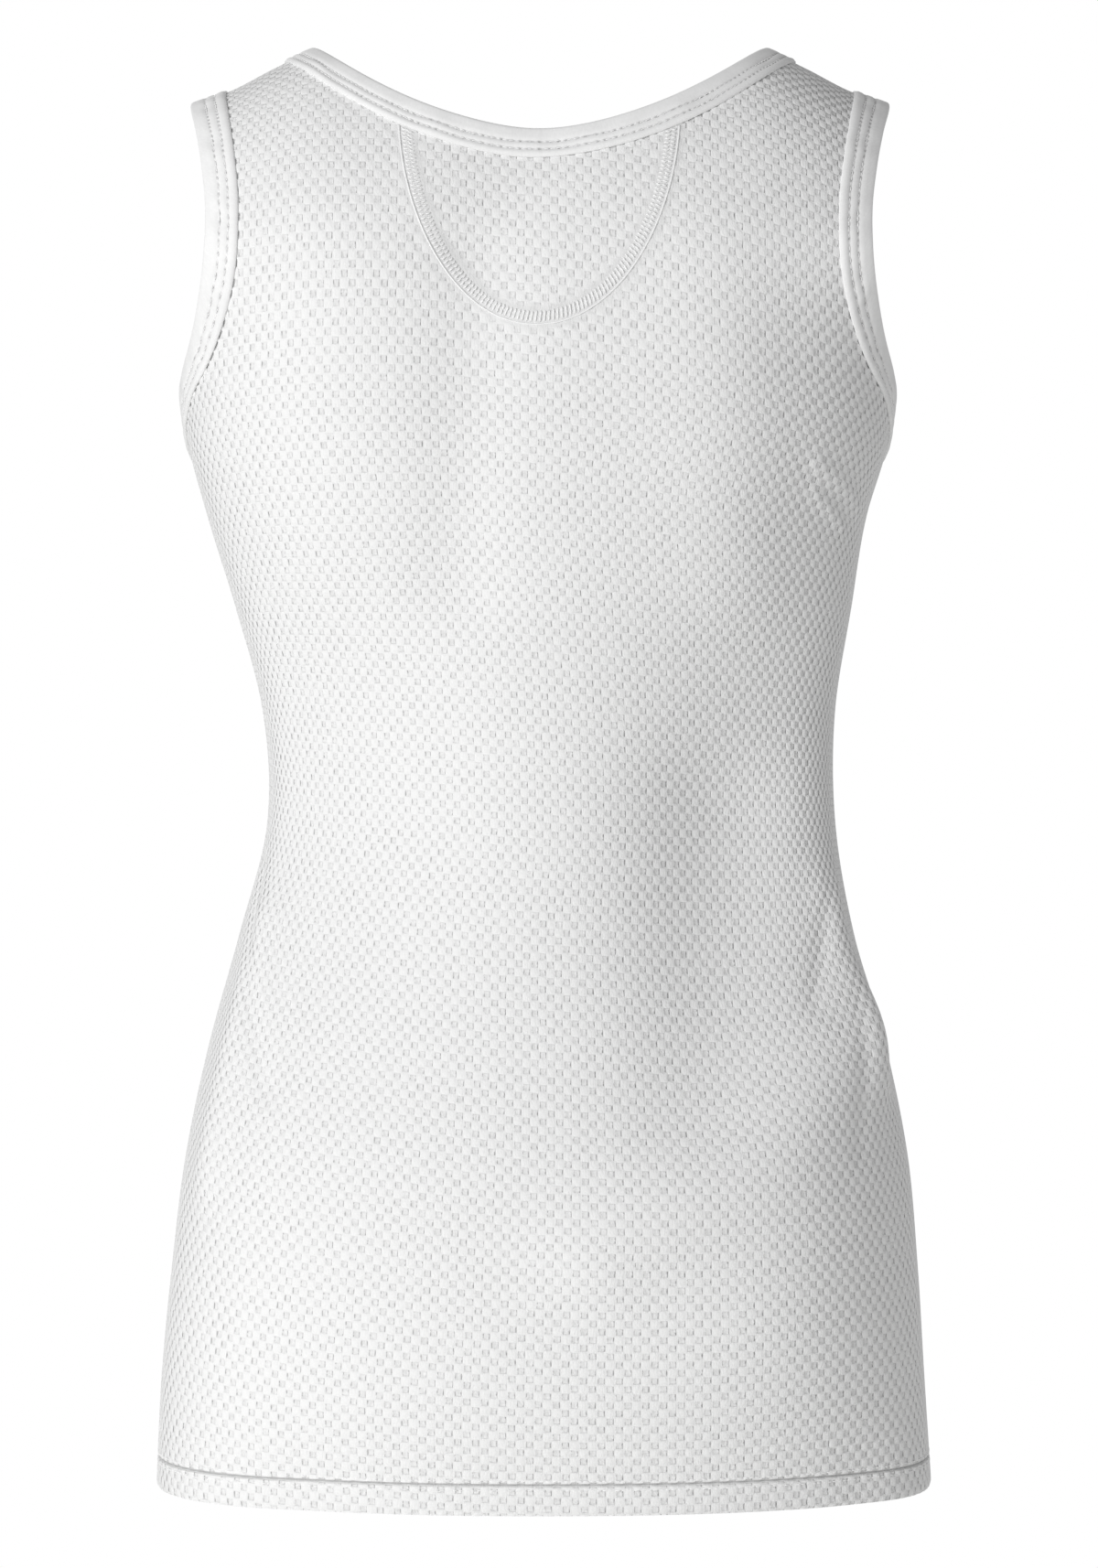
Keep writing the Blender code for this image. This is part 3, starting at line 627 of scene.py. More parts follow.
def add(tree, kind, links=None, inputs=None, **settings):
    """A shader node with its settings, its own values and the sockets that feed it."""
    node = tree.nodes.new("ShaderNode" + kind)
    for name, value in settings.items():
        setattr(node, name, value)
    for key, value in (inputs or {}).items():
        node.inputs[key].default_value = value
    for key, socket in (links or {}).items():
        tree.links.new(socket, node.inputs[key])
    return node


def mesh_knit():
    """Check-knit polyester mesh: matt and white, its recesses thinner and so a little greyer, and darker
    still with painted shade.

    Its map is in squares of the check, 3.4 mm each. The knitting's wales are about 0.4 mm apart;
    they are drawn twice as coarse, so that they show.
    """
    made = bpy.data.materials.new("mesh_knit")
    made.use_nodes = True
    tree = made.node_tree
    shader = tree.nodes["Principled BSDF"]
    place_on = add(tree, "UVMap", uv_map="check").outputs["UV"]
    split = add(tree, "SeparateXYZ", {0: place_on})
    columns, rows = split.outputs["X"], split.outputs["Y"]
    square = [add(tree, "Math", {0: axis}, operation="FLOOR").outputs[0] for axis in (columns, rows)]
    both = add(tree, "Math", {0: square[0], 1: square[1]}, operation="ADD").outputs[0]
    odd = add(tree, "Math", {0: both}, {1: 2}, operation="FLOORED_MODULO").outputs[0]
    to_side = add(tree, "Math", {0: columns}, {1: 0.5}, operation="PINGPONG").outputs[0]
    to_row = add(tree, "Math", {0: rows}, {1: 0.5}, operation="PINGPONG").outputs[0]
    rim = add(tree, "Math", {0: to_side, 1: to_row}, operation="MINIMUM").outputs[0]
    inside = add(tree, "MapRange", {0: rim}, {1: 0.03, 2: 0.19}, interpolation_type="SMOOTHSTEP")
    press_and_shade = add(tree, "Attribute", attribute_name="press_and_shade").outputs["Fac"]
    loose = add(tree, "MapRange", {0: press_and_shade}, {1: 0.0, 2: SEAM_SHADE, 3: 1.0, 4: 0.0}).outputs[0]
    recess = add(tree, "Math", {0: odd, 1: inside.outputs[0]}, operation="MULTIPLY").outputs[0]
    recess = add(tree, "Math", {0: recess, 1: loose}, operation="MULTIPLY").outputs[0]

    stretched = add(tree, "Mapping", {"Vector": place_on}, {"Scale": (4.2, 1.9, 1.0)}).outputs[0]
    loops = add(tree, "TexNoise", {"Vector": stretched}, {"Scale": 1.0, "Detail": 2.0, "Roughness": 0.6})
    loops = loops.outputs[0]
    patches = add(tree, "TexNoise", {"Vector": place_on}, {"Scale": 0.35, "Detail": 3.0}).outputs[0]
    # Dark ticks at the left and right sides of each recess: painted shade of its walls, which the bump also
    # dents in.
    recess_side = add(tree, "Math", {0: to_side}, {1: 0.12, 2: 0.09}, operation="COMPARE").outputs[0]
    along = add(tree, "MapRange", {0: to_row}, {1: 0.12, 2: 0.22}).outputs[0]
    some = add(tree, "MapRange", {0: loops}, {1: 0.42, 2: 0.62, 3: 0.0, 4: 1.0}).outputs[0]
    held = add(tree, "Math", {0: recess_side, 1: along}, operation="MULTIPLY").outputs[0]
    held = add(tree, "Math", {0: held, 1: recess}, operation="MULTIPLY").outputs[0]
    tick = add(tree, "Math", {0: held, 1: some}, operation="MULTIPLY").outputs[0]

    deep = add(tree, "MapRange", {0: patches}, {1: 0.3, 2: 0.7, 3: 0.5, 4: 1.0}).outputs[0]
    patchy = add(tree, "MapRange", {0: loops}, {1: 0.3, 2: 0.7, 3: 0.2, 4: 1.4}).outputs[0]
    deep = add(tree, "Math", {0: deep, 1: patchy}, operation="MULTIPLY").outputs[0]
    # The recesses' grey: partly their thinner knit, partly painted shade in them.
    shade = add(tree, "Math", {0: recess, 1: deep}, operation="MULTIPLY").outputs[0]
    blocks = add(tree, "Mix", {"Factor": shade}, {"A": linear("#F6F6F6"), "B": linear("#E2E2E2")},
                 data_type="RGBA")
    # The ticks' painted shade.
    tick_shaded = add(tree, "Mix", {"A": blocks.outputs["Result"], "Factor": tick}, {"B": linear("#B6B6B6")},
                data_type="RGBA")
    # Painted shade in the hem's groove and under the flatlock seam's bars.
    pressed_shade_colour = add(tree, "Mix", {"A": tick_shaded.outputs["Result"], "Factor": press_and_shade}, {"B": linear("#ADADAD")},
                  data_type="RGBA")
    tree.links.new(pressed_shade_colour.outputs["Result"], shader.inputs["Base Color"])

    sunk = add(tree, "Math", {0: recess, 1: tick}, operation="ADD").outputs[0]
    height = add(tree, "Math", {0: sunk, 2: loops}, {1: -0.7}, operation="MULTIPLY_ADD").outputs[0]
    bump = add(tree, "Bump", {"Height": height}, {"Strength": 0.9, "Distance": 0.00032})
    tree.links.new(bump.outputs["Normal"], shader.inputs["Normal"])
    shader.inputs["Roughness"].default_value = 0.86
    shader.inputs["Sheen Weight"].default_value = 0.10
    shader.inputs["Sheen Roughness"].default_value = 0.45
    shader.inputs["Specular IOR Level"].default_value = 0.25
    return made


def in_groove(up):
    """From 0 beside the hem's pressed line to 1 in the middle of it."""
    return np.clip(1 - np.abs(up - HEM - HEM_GROOVE) / GROOVE_HALF, 0, 1)


def under_flatlock(flat):
    """From 0 away from the yoke's seam to 1 under it."""
    around = 0.03
    near = np.abs(flat[:, 0]) < YOKE_HALF_WIDTH + around
    near &= flat[:, 1] > YOKE_TOP - YOKE_DEPTH - around
    share = np.zeros(len(flat))
    share[near] = eased((SEAM_REACH - np.abs(beside(yoke_outline, flat[near]))) / SEAM_EDGE)
    return share


def body_panel(name, side, cloth):
    """The back or the front: the check cut out and bent round the body, its hem turned up."""
    low, high = HEM - HEM_DEPTH, float(ridge(side, 0))
    squares, faces = check_grid(int((low - MARGIN) / SQUARE), int((high + MARGIN) / SQUARE), 2 * REPEATS)
    flat = check_to_flat(side, squares[:, 0], squares[:, 1])
    points, faces = cut_panel(side, np.hstack([flat, squares]), faces)
    if side == "back":
        points, faces = trimmed(points, faces, lambda p: -beside(yoke_outline, p))
    _, (body, body_faces) = parted(points, faces, HEM)
    low_band, high_band = parted(body, body_faces, HEM + 2 * HEM_GROOVE)
    for above in (HEM_GROOVE - GROOVE_HALF, HEM_GROOVE, HEM_GROOVE + GROOVE_HALF):
        low_band = joined(*parted(*low_band, HEM + above))
    body, body_faces = joined(low_band, high_band)
    turned, turned_faces = trimmed(points, faces, lambda p: HEM - p[:, 1])
    turned, turned_faces = trimmed(turned, turned_faces, lambda p: p[:, 1] - low)

    from_side = half_girth(side, body[:, 1]) - np.abs(body[:, 0])
    from_ridge = ridge(side, body[:, 0]) - body[:, 1]
    dip = np.exp(-(from_side / SEAM_HALF) ** 2) + np.exp(-(from_ridge / SEAM_HALF) ** 2)
    seam = under_flatlock(body[:, :2]) if side == "back" else 0
    groove = in_groove(body[:, 1])
    relief = body[:, 4] * RELIEF * eased(from_side / SEAM_FADE)
    relief = relief * (1 - FLATTENED * np.maximum(seam, groove))
    rounded = HEM_ROUND * np.exp(-(body[:, 1] - HEM) / HEM_ROUND)
    lift = relief - GROOVE_DEPTH * groove - rounded - SEAM_DIP * dip + SEAM_RISE * seam
    outer = place(side, body[:, :2], lift)
    back_up = 2 * HEM - turned[:, 1]
    sunk = -HEM_ROUND - (HEM_INSIDE - HEM_ROUND) * (1 - np.exp(-(back_up - HEM) / HEM_BEND))
    inner = place(side, np.stack([turned[:, 0], back_up], axis=-1), sunk - turned[:, 4] * RELIEF / 2)
    shape, faces = joined((outer, body_faces), (inner, turned_faces))
    # Painted shade in the hem's groove and under the flatlock's bars.
    press_and_shade = np.append(np.maximum(SEAM_SHADE * seam, GROOVE_SHADE * groove), np.zeros(len(turned)))
    made = build(name, shape, faces, "check", np.vstack([body, turned])[:, 2:4], cloth, press_and_shade)
    width = 2 * float(half_girth(side, HEM))
    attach(made, "root")
    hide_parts(side)


knit = mesh_knit()
body_panel("back_panel", "back", knit)

# ---- Front ----
# The same knit, cut without a yoke, with a deeper neckline and armholes.
body_panel("front_panel", "front", knit)

# ---- Yoke ----
# A half-moon of the same knit, cut on its own, so that its check runs out of step with the back's.
YOKE_SHIFT = (0.6, -0.35)       # in squares, as the next three are
YOKE_LOW = -44
YOKE_HIGH = 4
YOKE_ASIDE = 26


def yoke_panel():
    """The half-moon: a stretch of the check cut out between the neck and the yoke's seam."""
    squares, faces = check_grid(YOKE_LOW, YOKE_HIGH, YOKE_ASIDE)
    flat = check_to_flat("back", squares[:, 0] + YOKE_SHIFT[0], squares[:, 1] + YOKE_SHIFT[1])
    points = np.hstack([flat, squares])
    points, faces = trimmed(points, faces, lambda p: -beside(neck_outline["back"], p) - WALL)
    points, faces = trimmed(points, faces, lambda p: beside(yoke_outline, p))
    seam = under_flatlock(points[:, :2])
    lift = points[:, 4] * RELIEF * (1 - FLATTENED * seam) + SEAM_RISE * seam
    outer = place("back", points[:, :2], lift)
    # The knit under the flatlock's bars gets painted shade.
    made = build("yoke_panel", outer, faces, "check", points[:, 2:4], knit, SEAM_SHADE * seam)
    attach(made, "root")
    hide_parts("yoke")


yoke_panel()

# ---- Neck binding ----
# A strip of fine plain knit, cut 29 mm wide and folded over the raw edge all round. Two rows of
# cover stitch hold it 7 and 10.5 mm below its fold, and press it into soft grooves.
BAND = 0.0010           # one layer of a binding
GAP = 0.0003
STRIP_STEP = 0.0013     # distance between its rings: half a stitch
STITCH = 0.0026         # length of one cover stitch
GROOVE = 0.0008         # depth of a stitch row's groove, and its half width
NECK_ROWS = (0.0054, 0.0088)    # the stitch rows, from the raw edge
BESIDE_ROW = (-0.0011, -0.0005, 0, 0.0005, 0.0011)      # the strip's lines along a row
FOLD_TURNS = 7
Lap = namedtuple("Lap", "past lift")    # the strip's outer edge, past the lap and out of the cloth
LAP = [
    Lap(0.0001, 0.0001),
    Lap(0.0005, 0.0006),
    Lap(0.0003, 0.0012),
]
Puff = namedtuple("Puff", "waves height phase")     # soft swellings along the whole strip
PUFFS = [
    Puff(23, 0.00012, 0),
    Puff(37, 0.00010, 1),
]


def opening(side, raw, lap):
    """Matching rows at a panel's raw edge and at its binding's lap, close enough for its stitches."""
    length = np.hypot(*np.diff(raw, axis=0).T).sum()
    count = int(round(length / STRIP_STEP))
    return side, spaced(raw, count), spaced(lap, count), False


def to_ridge(side, curve):
    return until(curve, ridge(side, curve[:, 0]) - curve[:, 1])


def turned_round(part):
    side, raw, lap, turned = part
    return side, raw, lap, not turned


def other_half(part):
    """The same rows on the wearer's right, without points that lie on the centre line."""
    side, raw, lap, turned = part
    own = raw[:, 0] > 0
    return side, mirrored(raw[own]), mirrored(lap[own]), turned


def neck_ring():
    back, front = (opening(side, to_ridge(side, neck_raw[side]), to_ridge(side, neck_lap[side]))
                   for side in SIDES)
    left = [back, turned_round(front)]
    return left + [other_half(front), other_half(turned_round(back))]


def round_opening(ring, share, lift, what=place):
    """Points round an opening, at a share of the way from the raw edge to the lap, moved out."""
    found, start = [], 0
    lift = np.broadcast_to(lift, sum(len(raw) for _, raw, _, _ in ring))
    for side, raw, lap, turned in ring:
        own = lift[start:start + len(raw)]
        start += len(raw)
        points = what(side, raw + (lap - raw) * share, own[::-1] if turned else own)
        found.append(points[::-1] if turned else points)
    return np.concatenate(found)


def facing(side, flat, _):
    return normal(side, flat[:, 0], flat[:, 1], form)


def unit(vectors):
    return vectors / np.linalg.norm(vectors, axis=-1, keepdims=True)


def even_out(values, reach):
    """Values round a ring, each averaged with its neighbours."""
    weights = np.hanning(2 * reach + 3)[1:-1]
    weights = weights / weights.sum()
    return sum(w * np.roll(values, k, axis=0) for w, k in zip(weights, range(-reach, reach + 1)))


def ring_length(points):
    """Each point's distance along a closed ring, and the whole length."""
    step = np.linalg.norm(np.roll(points, -1, axis=0) - points, axis=1)
    return np.append(0, np.cumsum(step))[:-1], float(step.sum())


def plain_knit():
    """Fine plain jersey of the same polyester: smooth, matt and a little whiter than the mesh.

    Its map is in millimetres along and across the strip. Its wales run across the strip, about
    0.9 mm apart as drawn, twice as coarse as the real ones, so that they show.
    """
    made = bpy.data.materials.new("plain_jersey")
    made.use_nodes = True
    tree = made.node_tree
    shader = tree.nodes["Principled BSDF"]
    place_on = add(tree, "UVMap", uv_map="strip").outputs["UV"]
    stretched = add(tree, "Mapping", {"Vector": place_on}, {"Scale": (1.1, 0.45, 1.0)}).outputs[0]
    loops = add(tree, "TexNoise", {"Vector": stretched}, {"Scale": 1.0, "Detail": 2.0}).outputs[0]
    soft = add(tree, "TexNoise", {"Vector": place_on}, {"Scale": 0.12, "Detail": 2.0}).outputs[0]
    both = add(tree, "Math", {0: loops, 1: soft}, operation="ADD").outputs[0]
    tone = add(tree, "MapRange", {0: both}, {1: 0.6, 2: 1.4}).outputs[0]
    colour = add(tree, "Mix", {"Factor": tone}, {"A": linear("#F2F2F2"), "B": linear("#FBFBFB")},
                 data_type="RGBA")
    press_and_shade = add(tree, "Attribute", attribute_name="press_and_shade").outputs["Fac"]
    # Painted shade along the stitch rows' grooves.
    stitch_row_shade = add(tree, "MapRange", {0: press_and_shade}, {1: 0.45, 2: 0.95, 3: 0.0, 4: 1.0}).outputs[0]
    stitch_row_shaded = add(tree, "Mix", {"A": colour.outputs["Result"], "Factor": stitch_row_shade}, {"B": linear("#A8A8A8")},
                data_type="RGBA")
    tree.links.new(stitch_row_shaded.outputs["Result"], shader.inputs["Base Color"])
    bump = add(tree, "Bump", {"Height": loops}, {"Strength": 0.5, "Distance": 0.00015})
    tree.links.new(bump.outputs["Normal"], shader.inputs["Normal"])
    shader.inputs["Roughness"].default_value = 0.85
    shader.inputs["Sheen Weight"].default_value = 0.10
    shader.inputs["Specular IOR Level"].default_value = 0.25
    return made


def binding(name, ring, reach, rows, cloth):
    """A strip folded over the edge of an opening, as one closed shell of the strip's thickness."""
    edge, edge_up = round_opening(ring, 0, 0), round_opening(ring, 0, 0, facing)
    away = unit(edge - round_opening(ring, 0.15, 0))
    edge_up, away = unit(even_out(edge_up, 4)), unit(even_out(away, 4))
    along, length = ring_length(edge)
    turn = along / length * 2 * np.pi
    puff = sum(own.height * np.sin(turn * own.waves + own.phase) for own in PUFFS)
    stitch = 0.5 + 0.5 * np.cos(2 * np.pi * along / STITCH)

    def press_and_shade(depth):
        """How far the stitch rows press the strip in; the same values set the painted shade along them."""
        return sum(GROOVE * np.exp(-((depth - row) / GROOVE) ** 2) for row in rows) * (0.5 + 0.5 * stitch)

    def layer(depths, outer):
        """Rows of the strip over the cloth, outside or inside of it."""
        made = []
        for depth, lift in depths:
            settled = press_and_shade(depth) - puff * min(depth, reach - depth) / reach * 4
            lifts = lift - settled if outer else lift + settled * 0.4
            made.append(round_opening(ring, depth / reach, lifts))
        return made

    near, far = WALL / 2 + GAP, WALL / 2 + GAP + BAND
    outside = [(reach + lap.past, lap.lift) for lap in LAP] + [(reach - BAND, far)]
    steps = sorted([row + offset for row in rows for offset in BESIDE_ROW])
    outside += [(depth, far) for depth in steps[::-1]]
    outside += [(share * rows[0], far) for share in (0.55, 0.25, 0)]
    turns = np.linspace(np.pi / 2, -np.pi / 2, FOLD_TURNS + 2)[1:-1]
    fold = [edge + edge_up * far * np.sin(turn) + away * far * np.cos(turn) for turn in turns]
    inside = [(0, -far), (rows[0] * 0.5, -far)] + [(row, -far) for row in rows] + [(reach, -far)]
    under = [(reach + GAP, -near - BAND / 2), (reach, -near), (0.0005, -near)]
    inner_fold = [edge + edge_up * near * np.sin(turn) + away * near * np.cos(turn) for turn in turns[::-2]]
    over = [(0.0005, near * 0.9), (reach - 0.0012, near * 0.7)]
    profile = layer(outside, True) + fold + layer(inside, False)
    profile += [round_opening(ring, depth / reach, lift) for depth, lift in under]
    profile += inner_fold + [round_opening(ring, depth / reach, lift) for depth, lift in over]

    count, across = len(edge), len(profile)
    points = np.vstack(profile)
    number = np.arange(across * count).reshape(across, count)
    ahead = np.roll(number, -1, 1)
    corners = [number, ahead, np.roll(ahead, -1, 0), np.roll(number, -1, 0)]
    faces = [tuple(face) for face in np.stack([c.ravel() for c in corners], axis=-1).tolist()]
    gaps = [float(np.linalg.norm(a - b, axis=1).mean()) for a, b in zip(profile, profile[1:])]
    around = np.cumsum([0] + gaps)
    places = np.stack(np.broadcast_arrays(along[None] * 1000, around[:, None] * 1000), axis=-1)
    # The painted shade along the stitch rows, on the strip's outside only.
    stitch_row_shades = [press_and_shade(depth) / GROOVE if row < len(outside) else 0 * along
             for row, depth in enumerate([depth for depth, _ in outside] + [0] * (across - len(outside)))]
    made = build(name, points, faces, "strip", places.reshape(-1, 2), cloth, np.concatenate(stitch_row_shades))
    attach(made, "root")
    return made


jersey = plain_knit()
neck = neck_ring()
neck_binding = binding("neck_strip", neck, NECK_LAP, NECK_ROWS, jersey)
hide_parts("neck_binding")


# ---- Stitching on the neck binding ----
# White polyester overlock thread, 0.4 mm thick: two rows of short stitches on the outside, whose
# ends sink into the cloth, and inside the looper thread that crosses between them.
THREAD = 0.00020        # radius
DASH = (-0.42, -0.32, -0.13, 0.13, 0.32, 0.42)      # points of one stitch, in stitch lengths
DASH_LIFT = (-0.0004, 0.0, 0.00018, 0.00018, 0.0, -0.0004)
THREAD_SIDES = 6


def polyester_thread():
    """Spun polyester sewing thread: white with a slight silk sheen, its twist too fine to show."""
    made = bpy.data.materials.new("polyester_thread")
    made.use_nodes = True
    tree = made.node_tree
    shader = tree.nodes["Principled BSDF"]
    fuzz = add(tree, "TexNoise", inputs={"Scale": 2500.0, "Detail": 1.0}).outputs[0]
    colour = add(tree, "Mix", {"Factor": fuzz}, {"A": linear("#FAFAFA"), "B": linear("#FFFFFF")},
                 data_type="RGBA")
    tree.links.new(colour.outputs["Result"], shader.inputs["Base Color"])
    shader.inputs["Roughness"].default_value = 0.55
    shader.inputs["Sheen Weight"].default_value = 0.15
    return made


def threads(name, groups, cloth):
    """Threads as one mesh. Each group has lines of points, the way out of the cloth at them, and radii."""
    points, faces, start = [], [], 0
    turns = np.linspace(0, 2 * np.pi, THREAD_SIDES, endpoint=False)
    for lines, ups, radii in groups:
        run = unit(np.gradient(lines, axis=1))
        sideways = unit(np.cross(run, ups))
        upward = np.cross(sideways, run)
        around = sideways[:, :, None] * np.cos(turns)[:, None] + upward[:, :, None] * np.sin(turns)[:, None]
        tube = lines[:, :, None] + around * np.asarray(radii)[:, None, None]
        amount, length = lines.shape[:2]
        number = start + np.arange(amount * length * THREAD_SIDES).reshape(amount, length, THREAD_SIDES)
        a, b = number[:, :-1], number[:, 1:]
        quads = np.stack([a, np.roll(a, -1, 2), np.roll(b, -1, 2), b], axis=-1).reshape(-1, 4)
        faces += [tuple(face) for face in quads.tolist()]
        faces += [tuple(face) for face in number[:, 0, ::-1].tolist() + number[:, -1].tolist()]
        points.append(tube.reshape(-1, 3))
        start += amount * length * THREAD_SIDES
    points = np.vstack(points)
    made = build(name, points, faces, "thread", points[:, :2], cloth)
    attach(made, "root")


def read_along(path, ups, at, closed):
    """Points and outward ways of a path at some distances along it."""
    if closed:
        path, ups = np.vstack([path, path[:1]]), np.vstack([ups, ups[:1]])
    length = np.append(0, np.cumsum(np.linalg.norm(np.diff(path, axis=0), axis=1)))
    if closed:
        at = at % length[-1]
    read = [np.stack([np.interp(at, length, column) for column in rows.T], axis=-1) for rows in (path, ups)]
    return read[0], unit(read[1])


def dashes(path, ups):
    """A row of stitches along a closed path, each sinking into the cloth at its ends."""
    middles = (np.arange(int(ring_length(path)[1] / STITCH)) + 0.5) * STITCH
    at = middles[:, None] + np.array(DASH) * STITCH
    points, ways = read_along(path, ups, at.ravel(), True)
    lines = (points + ways * np.tile(DASH_LIFT, len(middles))[:, None]).reshape(len(middles), len(DASH), 3)
    return lines, ways.reshape(lines.shape), THREAD * np.array([0.5, 0.9, 1, 1, 0.9, 0.5])


def crossing(left, right, ups, lift):
    """A looper thread that runs to and fro between two paths, as one line."""
    length = np.linalg.norm(np.diff(left, axis=0), axis=1).sum()
    at = np.arange(0, length, STITCH / 4)
    sway = eased(np.abs(at / STITCH % 1 * 2 - 1))[:, None]
    first, ways = read_along(left, ups, at, False)
    share = at / length * np.linalg.norm(np.diff(right, axis=0), axis=1).sum()
    second, _ = read_along(right, ups, share, False)
    line = first * sway + second * (1 - sway) + ways * lift
    return line[None], ways[None], np.full(len(line), THREAD * 0.8)


def cover_stitch(name, ring, reach, rows, cloth):
    """Twin needle rows outside and the looper thread inside, round an opening."""
    ups = round_opening(ring, 0.7, 0, facing)
    outer = WALL / 2 + GAP + BAND - GROOVE * 0.8
    groups = [dashes(round_opening(ring, row / reach, outer), ups) for row in rows]
    inner = [round_opening(ring, row / reach, -(WALL / 2 + GAP + BAND)) for row in rows]
    closing = [np.vstack([path, path[:1]]) for path in inner]
    groups.append(crossing(*closing, np.vstack([-ups, -ups[:1]]), 0.0001))
    threads(name, groups, cloth)


thread = polyester_thread()
cover_stitch("neck_stitches", neck, NECK_LAP, NECK_ROWS, thread)

# ---- Armhole bindings ----
# The same knit on each armhole, cut 34 mm wide, its stitch rows 8.5 and 12.5 mm below the fold.
ARMHOLE_ROWS = (0.0066, 0.0106)


def armhole_half(side, curve):
    """A curve round the armhole as one panel's flat points, from its shoulder to the side seam."""
    if side == "front":
        curve = curve[::-1]
    curve = until(curve, OUTWARD[side] * curve[:, 0])
    return to_ridge(side, from_inset(side, curve)[::-1])[::-1]


def armhole_ring(half):
    back, front = (opening(side, armhole_half(side, armhole_raw), armhole_half(side, armhole_lap))
                   for side in SIDES)
    return [half(back), half(turned_round(front))]


for wearer_side, half in (("left", lambda part: part), ("right", other_half)):
    ring = armhole_ring(half)
    strip = binding("armhole_strip_" + wearer_side, ring, ARMHOLE_LAP, ARMHOLE_ROWS, jersey)
    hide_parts("armhole_binding_" + wearer_side)
    cover_stitch("armhole_stitches_" + wearer_side, ring, ARMHOLE_LAP, ARMHOLE_ROWS, thread)

# ---- Yoke seam ----
# A flatlock seam 6 mm wide over the panels' butted edges: bars of looper thread, held down along
# their middles by a needle row, and a covering thread laid along its outer side.
FLATLOCK = 0.0029       # half width
BAR_PITCH = 0.00184
BAR_SLANT = 0.0004
Bar = namedtuple("Bar", "aside lift radius")    # along one bar: half widths outward, and mm
BAR = [
    Bar(-1.00, -0.10, 0.20),
    Bar(-0.78, 0.38, 0.36),
    Bar(-0.46, 0.40, 0.38),
    Bar(-0.22, 0.10, 0.26),
    Bar(0.02, 0.40, 0.38),
    Bar(0.34, 0.38, 0.36),
    Bar(0.58, -0.10, 0.20),
]
EDGE_CORD = Bar(0.94, 0.24, 0.33)


def seam_path(aside):
    """The half-moon's seam moved out from its line, from one end at the neck binding to the other."""
    half = offset_in_space(unfolded("back"), yoke_seam, 1, aside)
    half[-1, 0] = 0
    start = np.argmax(beside(neck_lap["back"], half) < -GAP)
    return on_both_sides(spaced(half[start:], 160))


def beside_seam(aside):
    return place("back", seam_path(aside * FLATLOCK), SEAM_RISE)


def flatlock():
    """The seam's bars and its covering thread, as one piece."""
    ups = facing("back", seam_path(0.0), 0)
    length = np.linalg.norm(np.diff(beside_seam(0.0), axis=0), axis=1).sum()
    at = (np.arange(int(length / BAR_PITCH)) + 0.5) / int(length / BAR_PITCH)
    lines, ways = [], []
    for bar in BAR:
        path = beside_seam(bar.aside)
        own = np.linalg.norm(np.diff(path, axis=0), axis=1).sum()
        points, up = read_along(path, ups, np.clip(at * own + bar.aside * BAR_SLANT, 0, own), False)
        lines.append(points + up * bar.lift / 1000)
        ways.append(up)
    bars = (np.stack(lines, axis=1), np.stack(ways, axis=1), np.array([bar.radius for bar in BAR]) / 1000)
    cord = beside_seam(EDGE_CORD.aside) + ups * EDGE_CORD.lift / 1000
    cords = (cord[None], ups[None], np.full(len(cord), EDGE_CORD.radius / 1000))
    threads("yoke_flatlock", [bars, cords], thread)


flatlock()

# ---- Hem stitching ----
# A twin-needle row all round, its two lines 4 mm apart, over the upper edge of the turned hem.
HEM_ROWS = (0.0106, 0.0146)     # above the hem's fold
STITCH_OUT = 0.00015
LOOPER_ROWS = (0.0086, 0.0146)  # what the looper thread runs to and fro between, inside
LOOPER_IN = 0.0022


def level_ring(above, lift, what=place):
    """A level ring round both panels, some way above the hem."""
    found = []
    for side, turn in (("back", 1), ("front", -1)):
        width = float(half_girth(side, HEM + above))
        across = np.linspace(width, -width, 300)[:-1] * turn
        found.append(what(side, np.stack([across, np.full(len(across), HEM + above)], axis=-1), lift))
    return np.concatenate(found)


def hem_stitching():
    ups = level_ring(HEM_GROOVE, 0, facing)
    groups = [dashes(level_ring(row, STITCH_OUT), ups) for row in HEM_ROWS]
    inner = [level_ring(row, -LOOPER_IN) for row in LOOPER_ROWS]
    closing = [np.vstack([path, path[:1]]) for path in inner]
    groups.append(crossing(*closing, np.vstack([-ups, -ups[:1]]), 0.0))
    threads("hem_stitches", groups, thread)


hem_stitching()

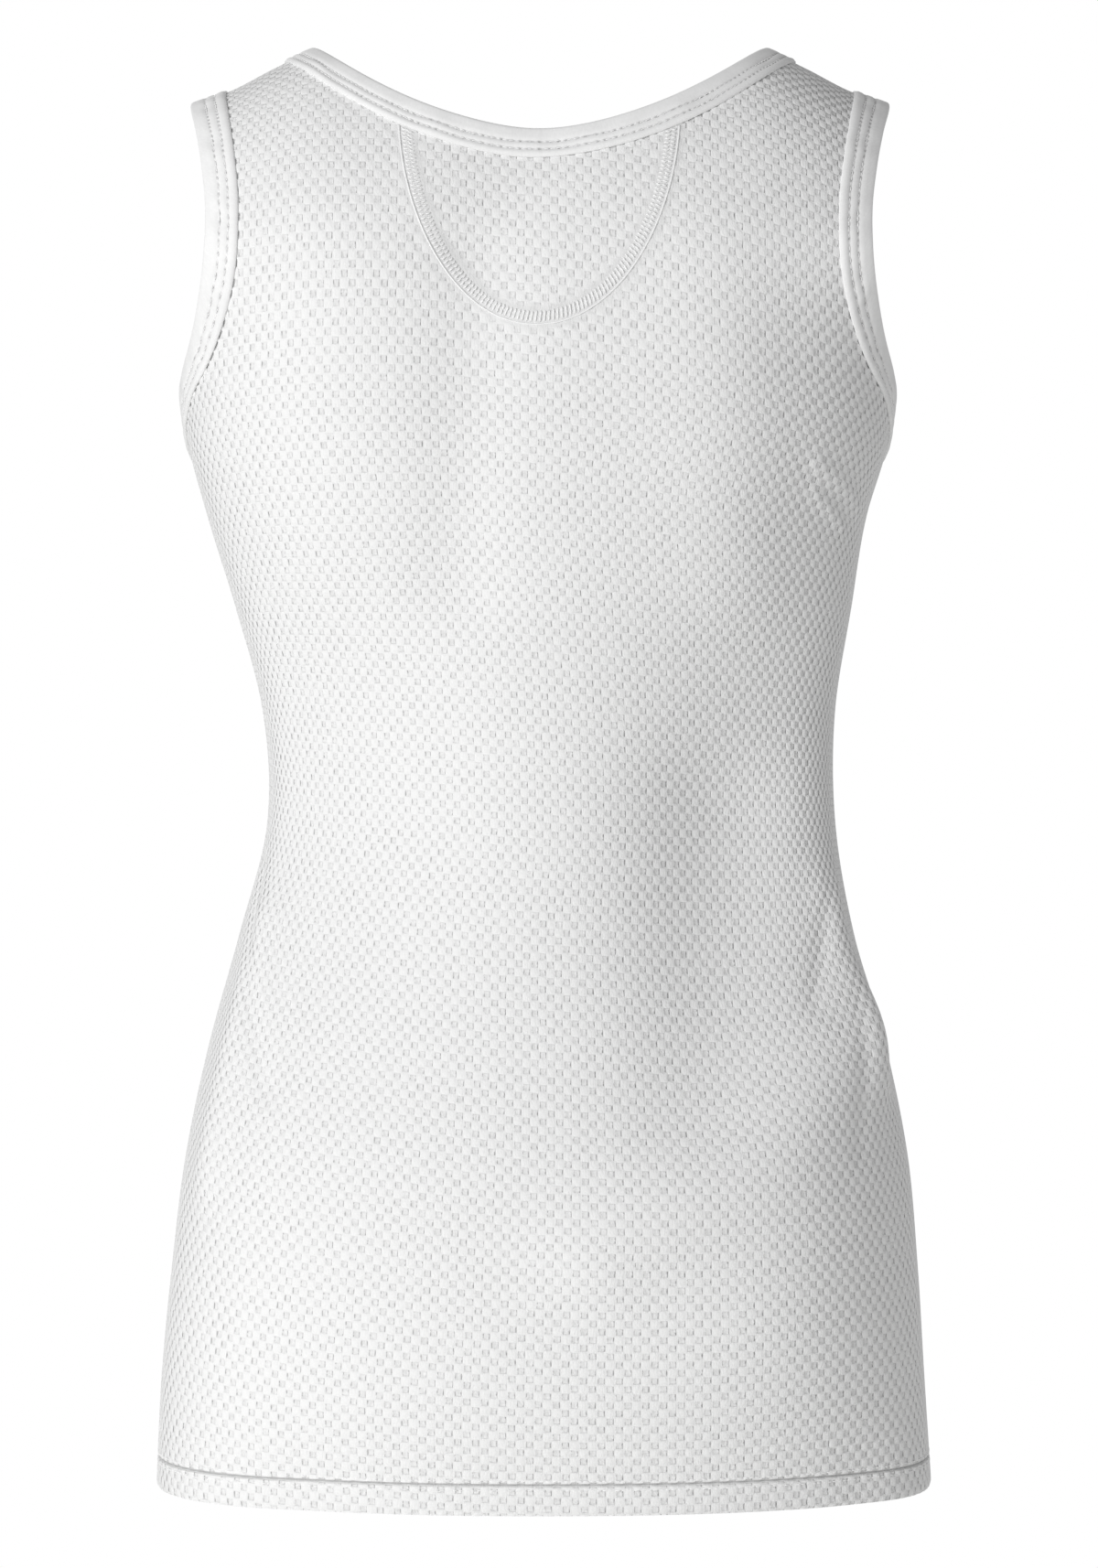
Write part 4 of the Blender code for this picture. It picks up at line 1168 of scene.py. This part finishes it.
# ---- Floor, lights and camera ----
# The garment hangs above a plain pale floor in a white room, as its photograph was taken: a wide
# soft light from the wearer's left, behind, and a level camera 2.1 m off.
PIXEL = 0.0004          # metres across one pixel of the 1200 x 1714 image, at the side seams
IMAGE_HEIGHT = 1714
CAMERA_AWAY = 2.1
CAMERA_UP = -0.317
SENSOR = 36.0
FLOOR_RADIUS = 1.2
FLOOR_HEIGHT = -0.95
ROOM_GLOW = 0.31        # how strongly the white room lights the cloth; the camera sees it as 1
LIT_POINT = (0, 0, -0.3)
Light = namedtuple("Light", "name at size power")
LIGHTS = [
    Light("key", (1.55, 2.10, -0.05), 1.5, 46),
    Light("side_fill", (-2.0, 0.6, -0.8), 1.4, 6),
    Light("front_fill", (0.3, -2.4, 0.6), 1.4, 30),
]


def plain(name, colour, roughness):
    made = bpy.data.materials.new(name)
    made.use_nodes = True
    shader = made.node_tree.nodes["Principled BSDF"]
    shader.inputs["Base Color"].default_value = linear(colour)
    shader.inputs["Roughness"].default_value = roughness
    return made


def soft_light(row):
    light = bpy.data.lights.new(row.name, "AREA")
    light.shape = "DISK"
    light.size = row.size
    light.energy = row.power
    lamp = bpy.data.objects.new(row.name, light)
    lamp.location = row.at
    lamp.rotation_euler = (Vector(LIT_POINT) - Vector(row.at)).to_track_quat("-Z", "Y").to_euler()
    bpy.context.scene.collection.objects.link(lamp)


floor_mesh = bpy.data.meshes.new("floor")
turns = np.linspace(0, 2 * np.pi, 97)[:-1]
rim = FLOOR_RADIUS * np.stack([np.cos(turns), np.sin(turns), 0 * turns], axis=-1) + [0, 0, FLOOR_HEIGHT]
floor_mesh.from_pydata(rim.tolist(), [], [tuple(range(len(turns)))])
floor_mesh.materials.append(plain("painted_floor", "#F2F2F0", 0.7))
floor = bpy.data.objects.new("floor", floor_mesh)
bpy.context.scene.collection.objects.link(floor)

world = bpy.data.worlds.new("white_room")
world.use_nodes = True
room = world.node_tree
seen = add(room, "LightPath").outputs["Is Camera Ray"]
glow = room.nodes["Background"]
glow.inputs["Color"].default_value = linear("#FFFFFF")
power = add(room, "MapRange", {0: seen}, {3: ROOM_GLOW, 4: 1.0})
room.links.new(power.outputs[0], glow.inputs["Strength"])
bpy.context.scene.world = world

for row in LIGHTS:
    soft_light(row)

camera_data = bpy.data.cameras.new("camera")
camera_data.sensor_width = SENSOR
camera_data.lens = CAMERA_AWAY / (IMAGE_HEIGHT * PIXEL) * SENSOR
camera = bpy.data.objects.new("camera", camera_data)
camera.location = (-RIDGE_ASIDE, CAMERA_AWAY - RIDGE_BACK, CAMERA_UP)
camera.rotation_euler = (np.pi / 2, 0, np.pi)
bpy.context.scene.collection.objects.link(camera)
bpy.context.scene.camera = camera
bpy.context.scene.view_settings.view_transform = "Standard"
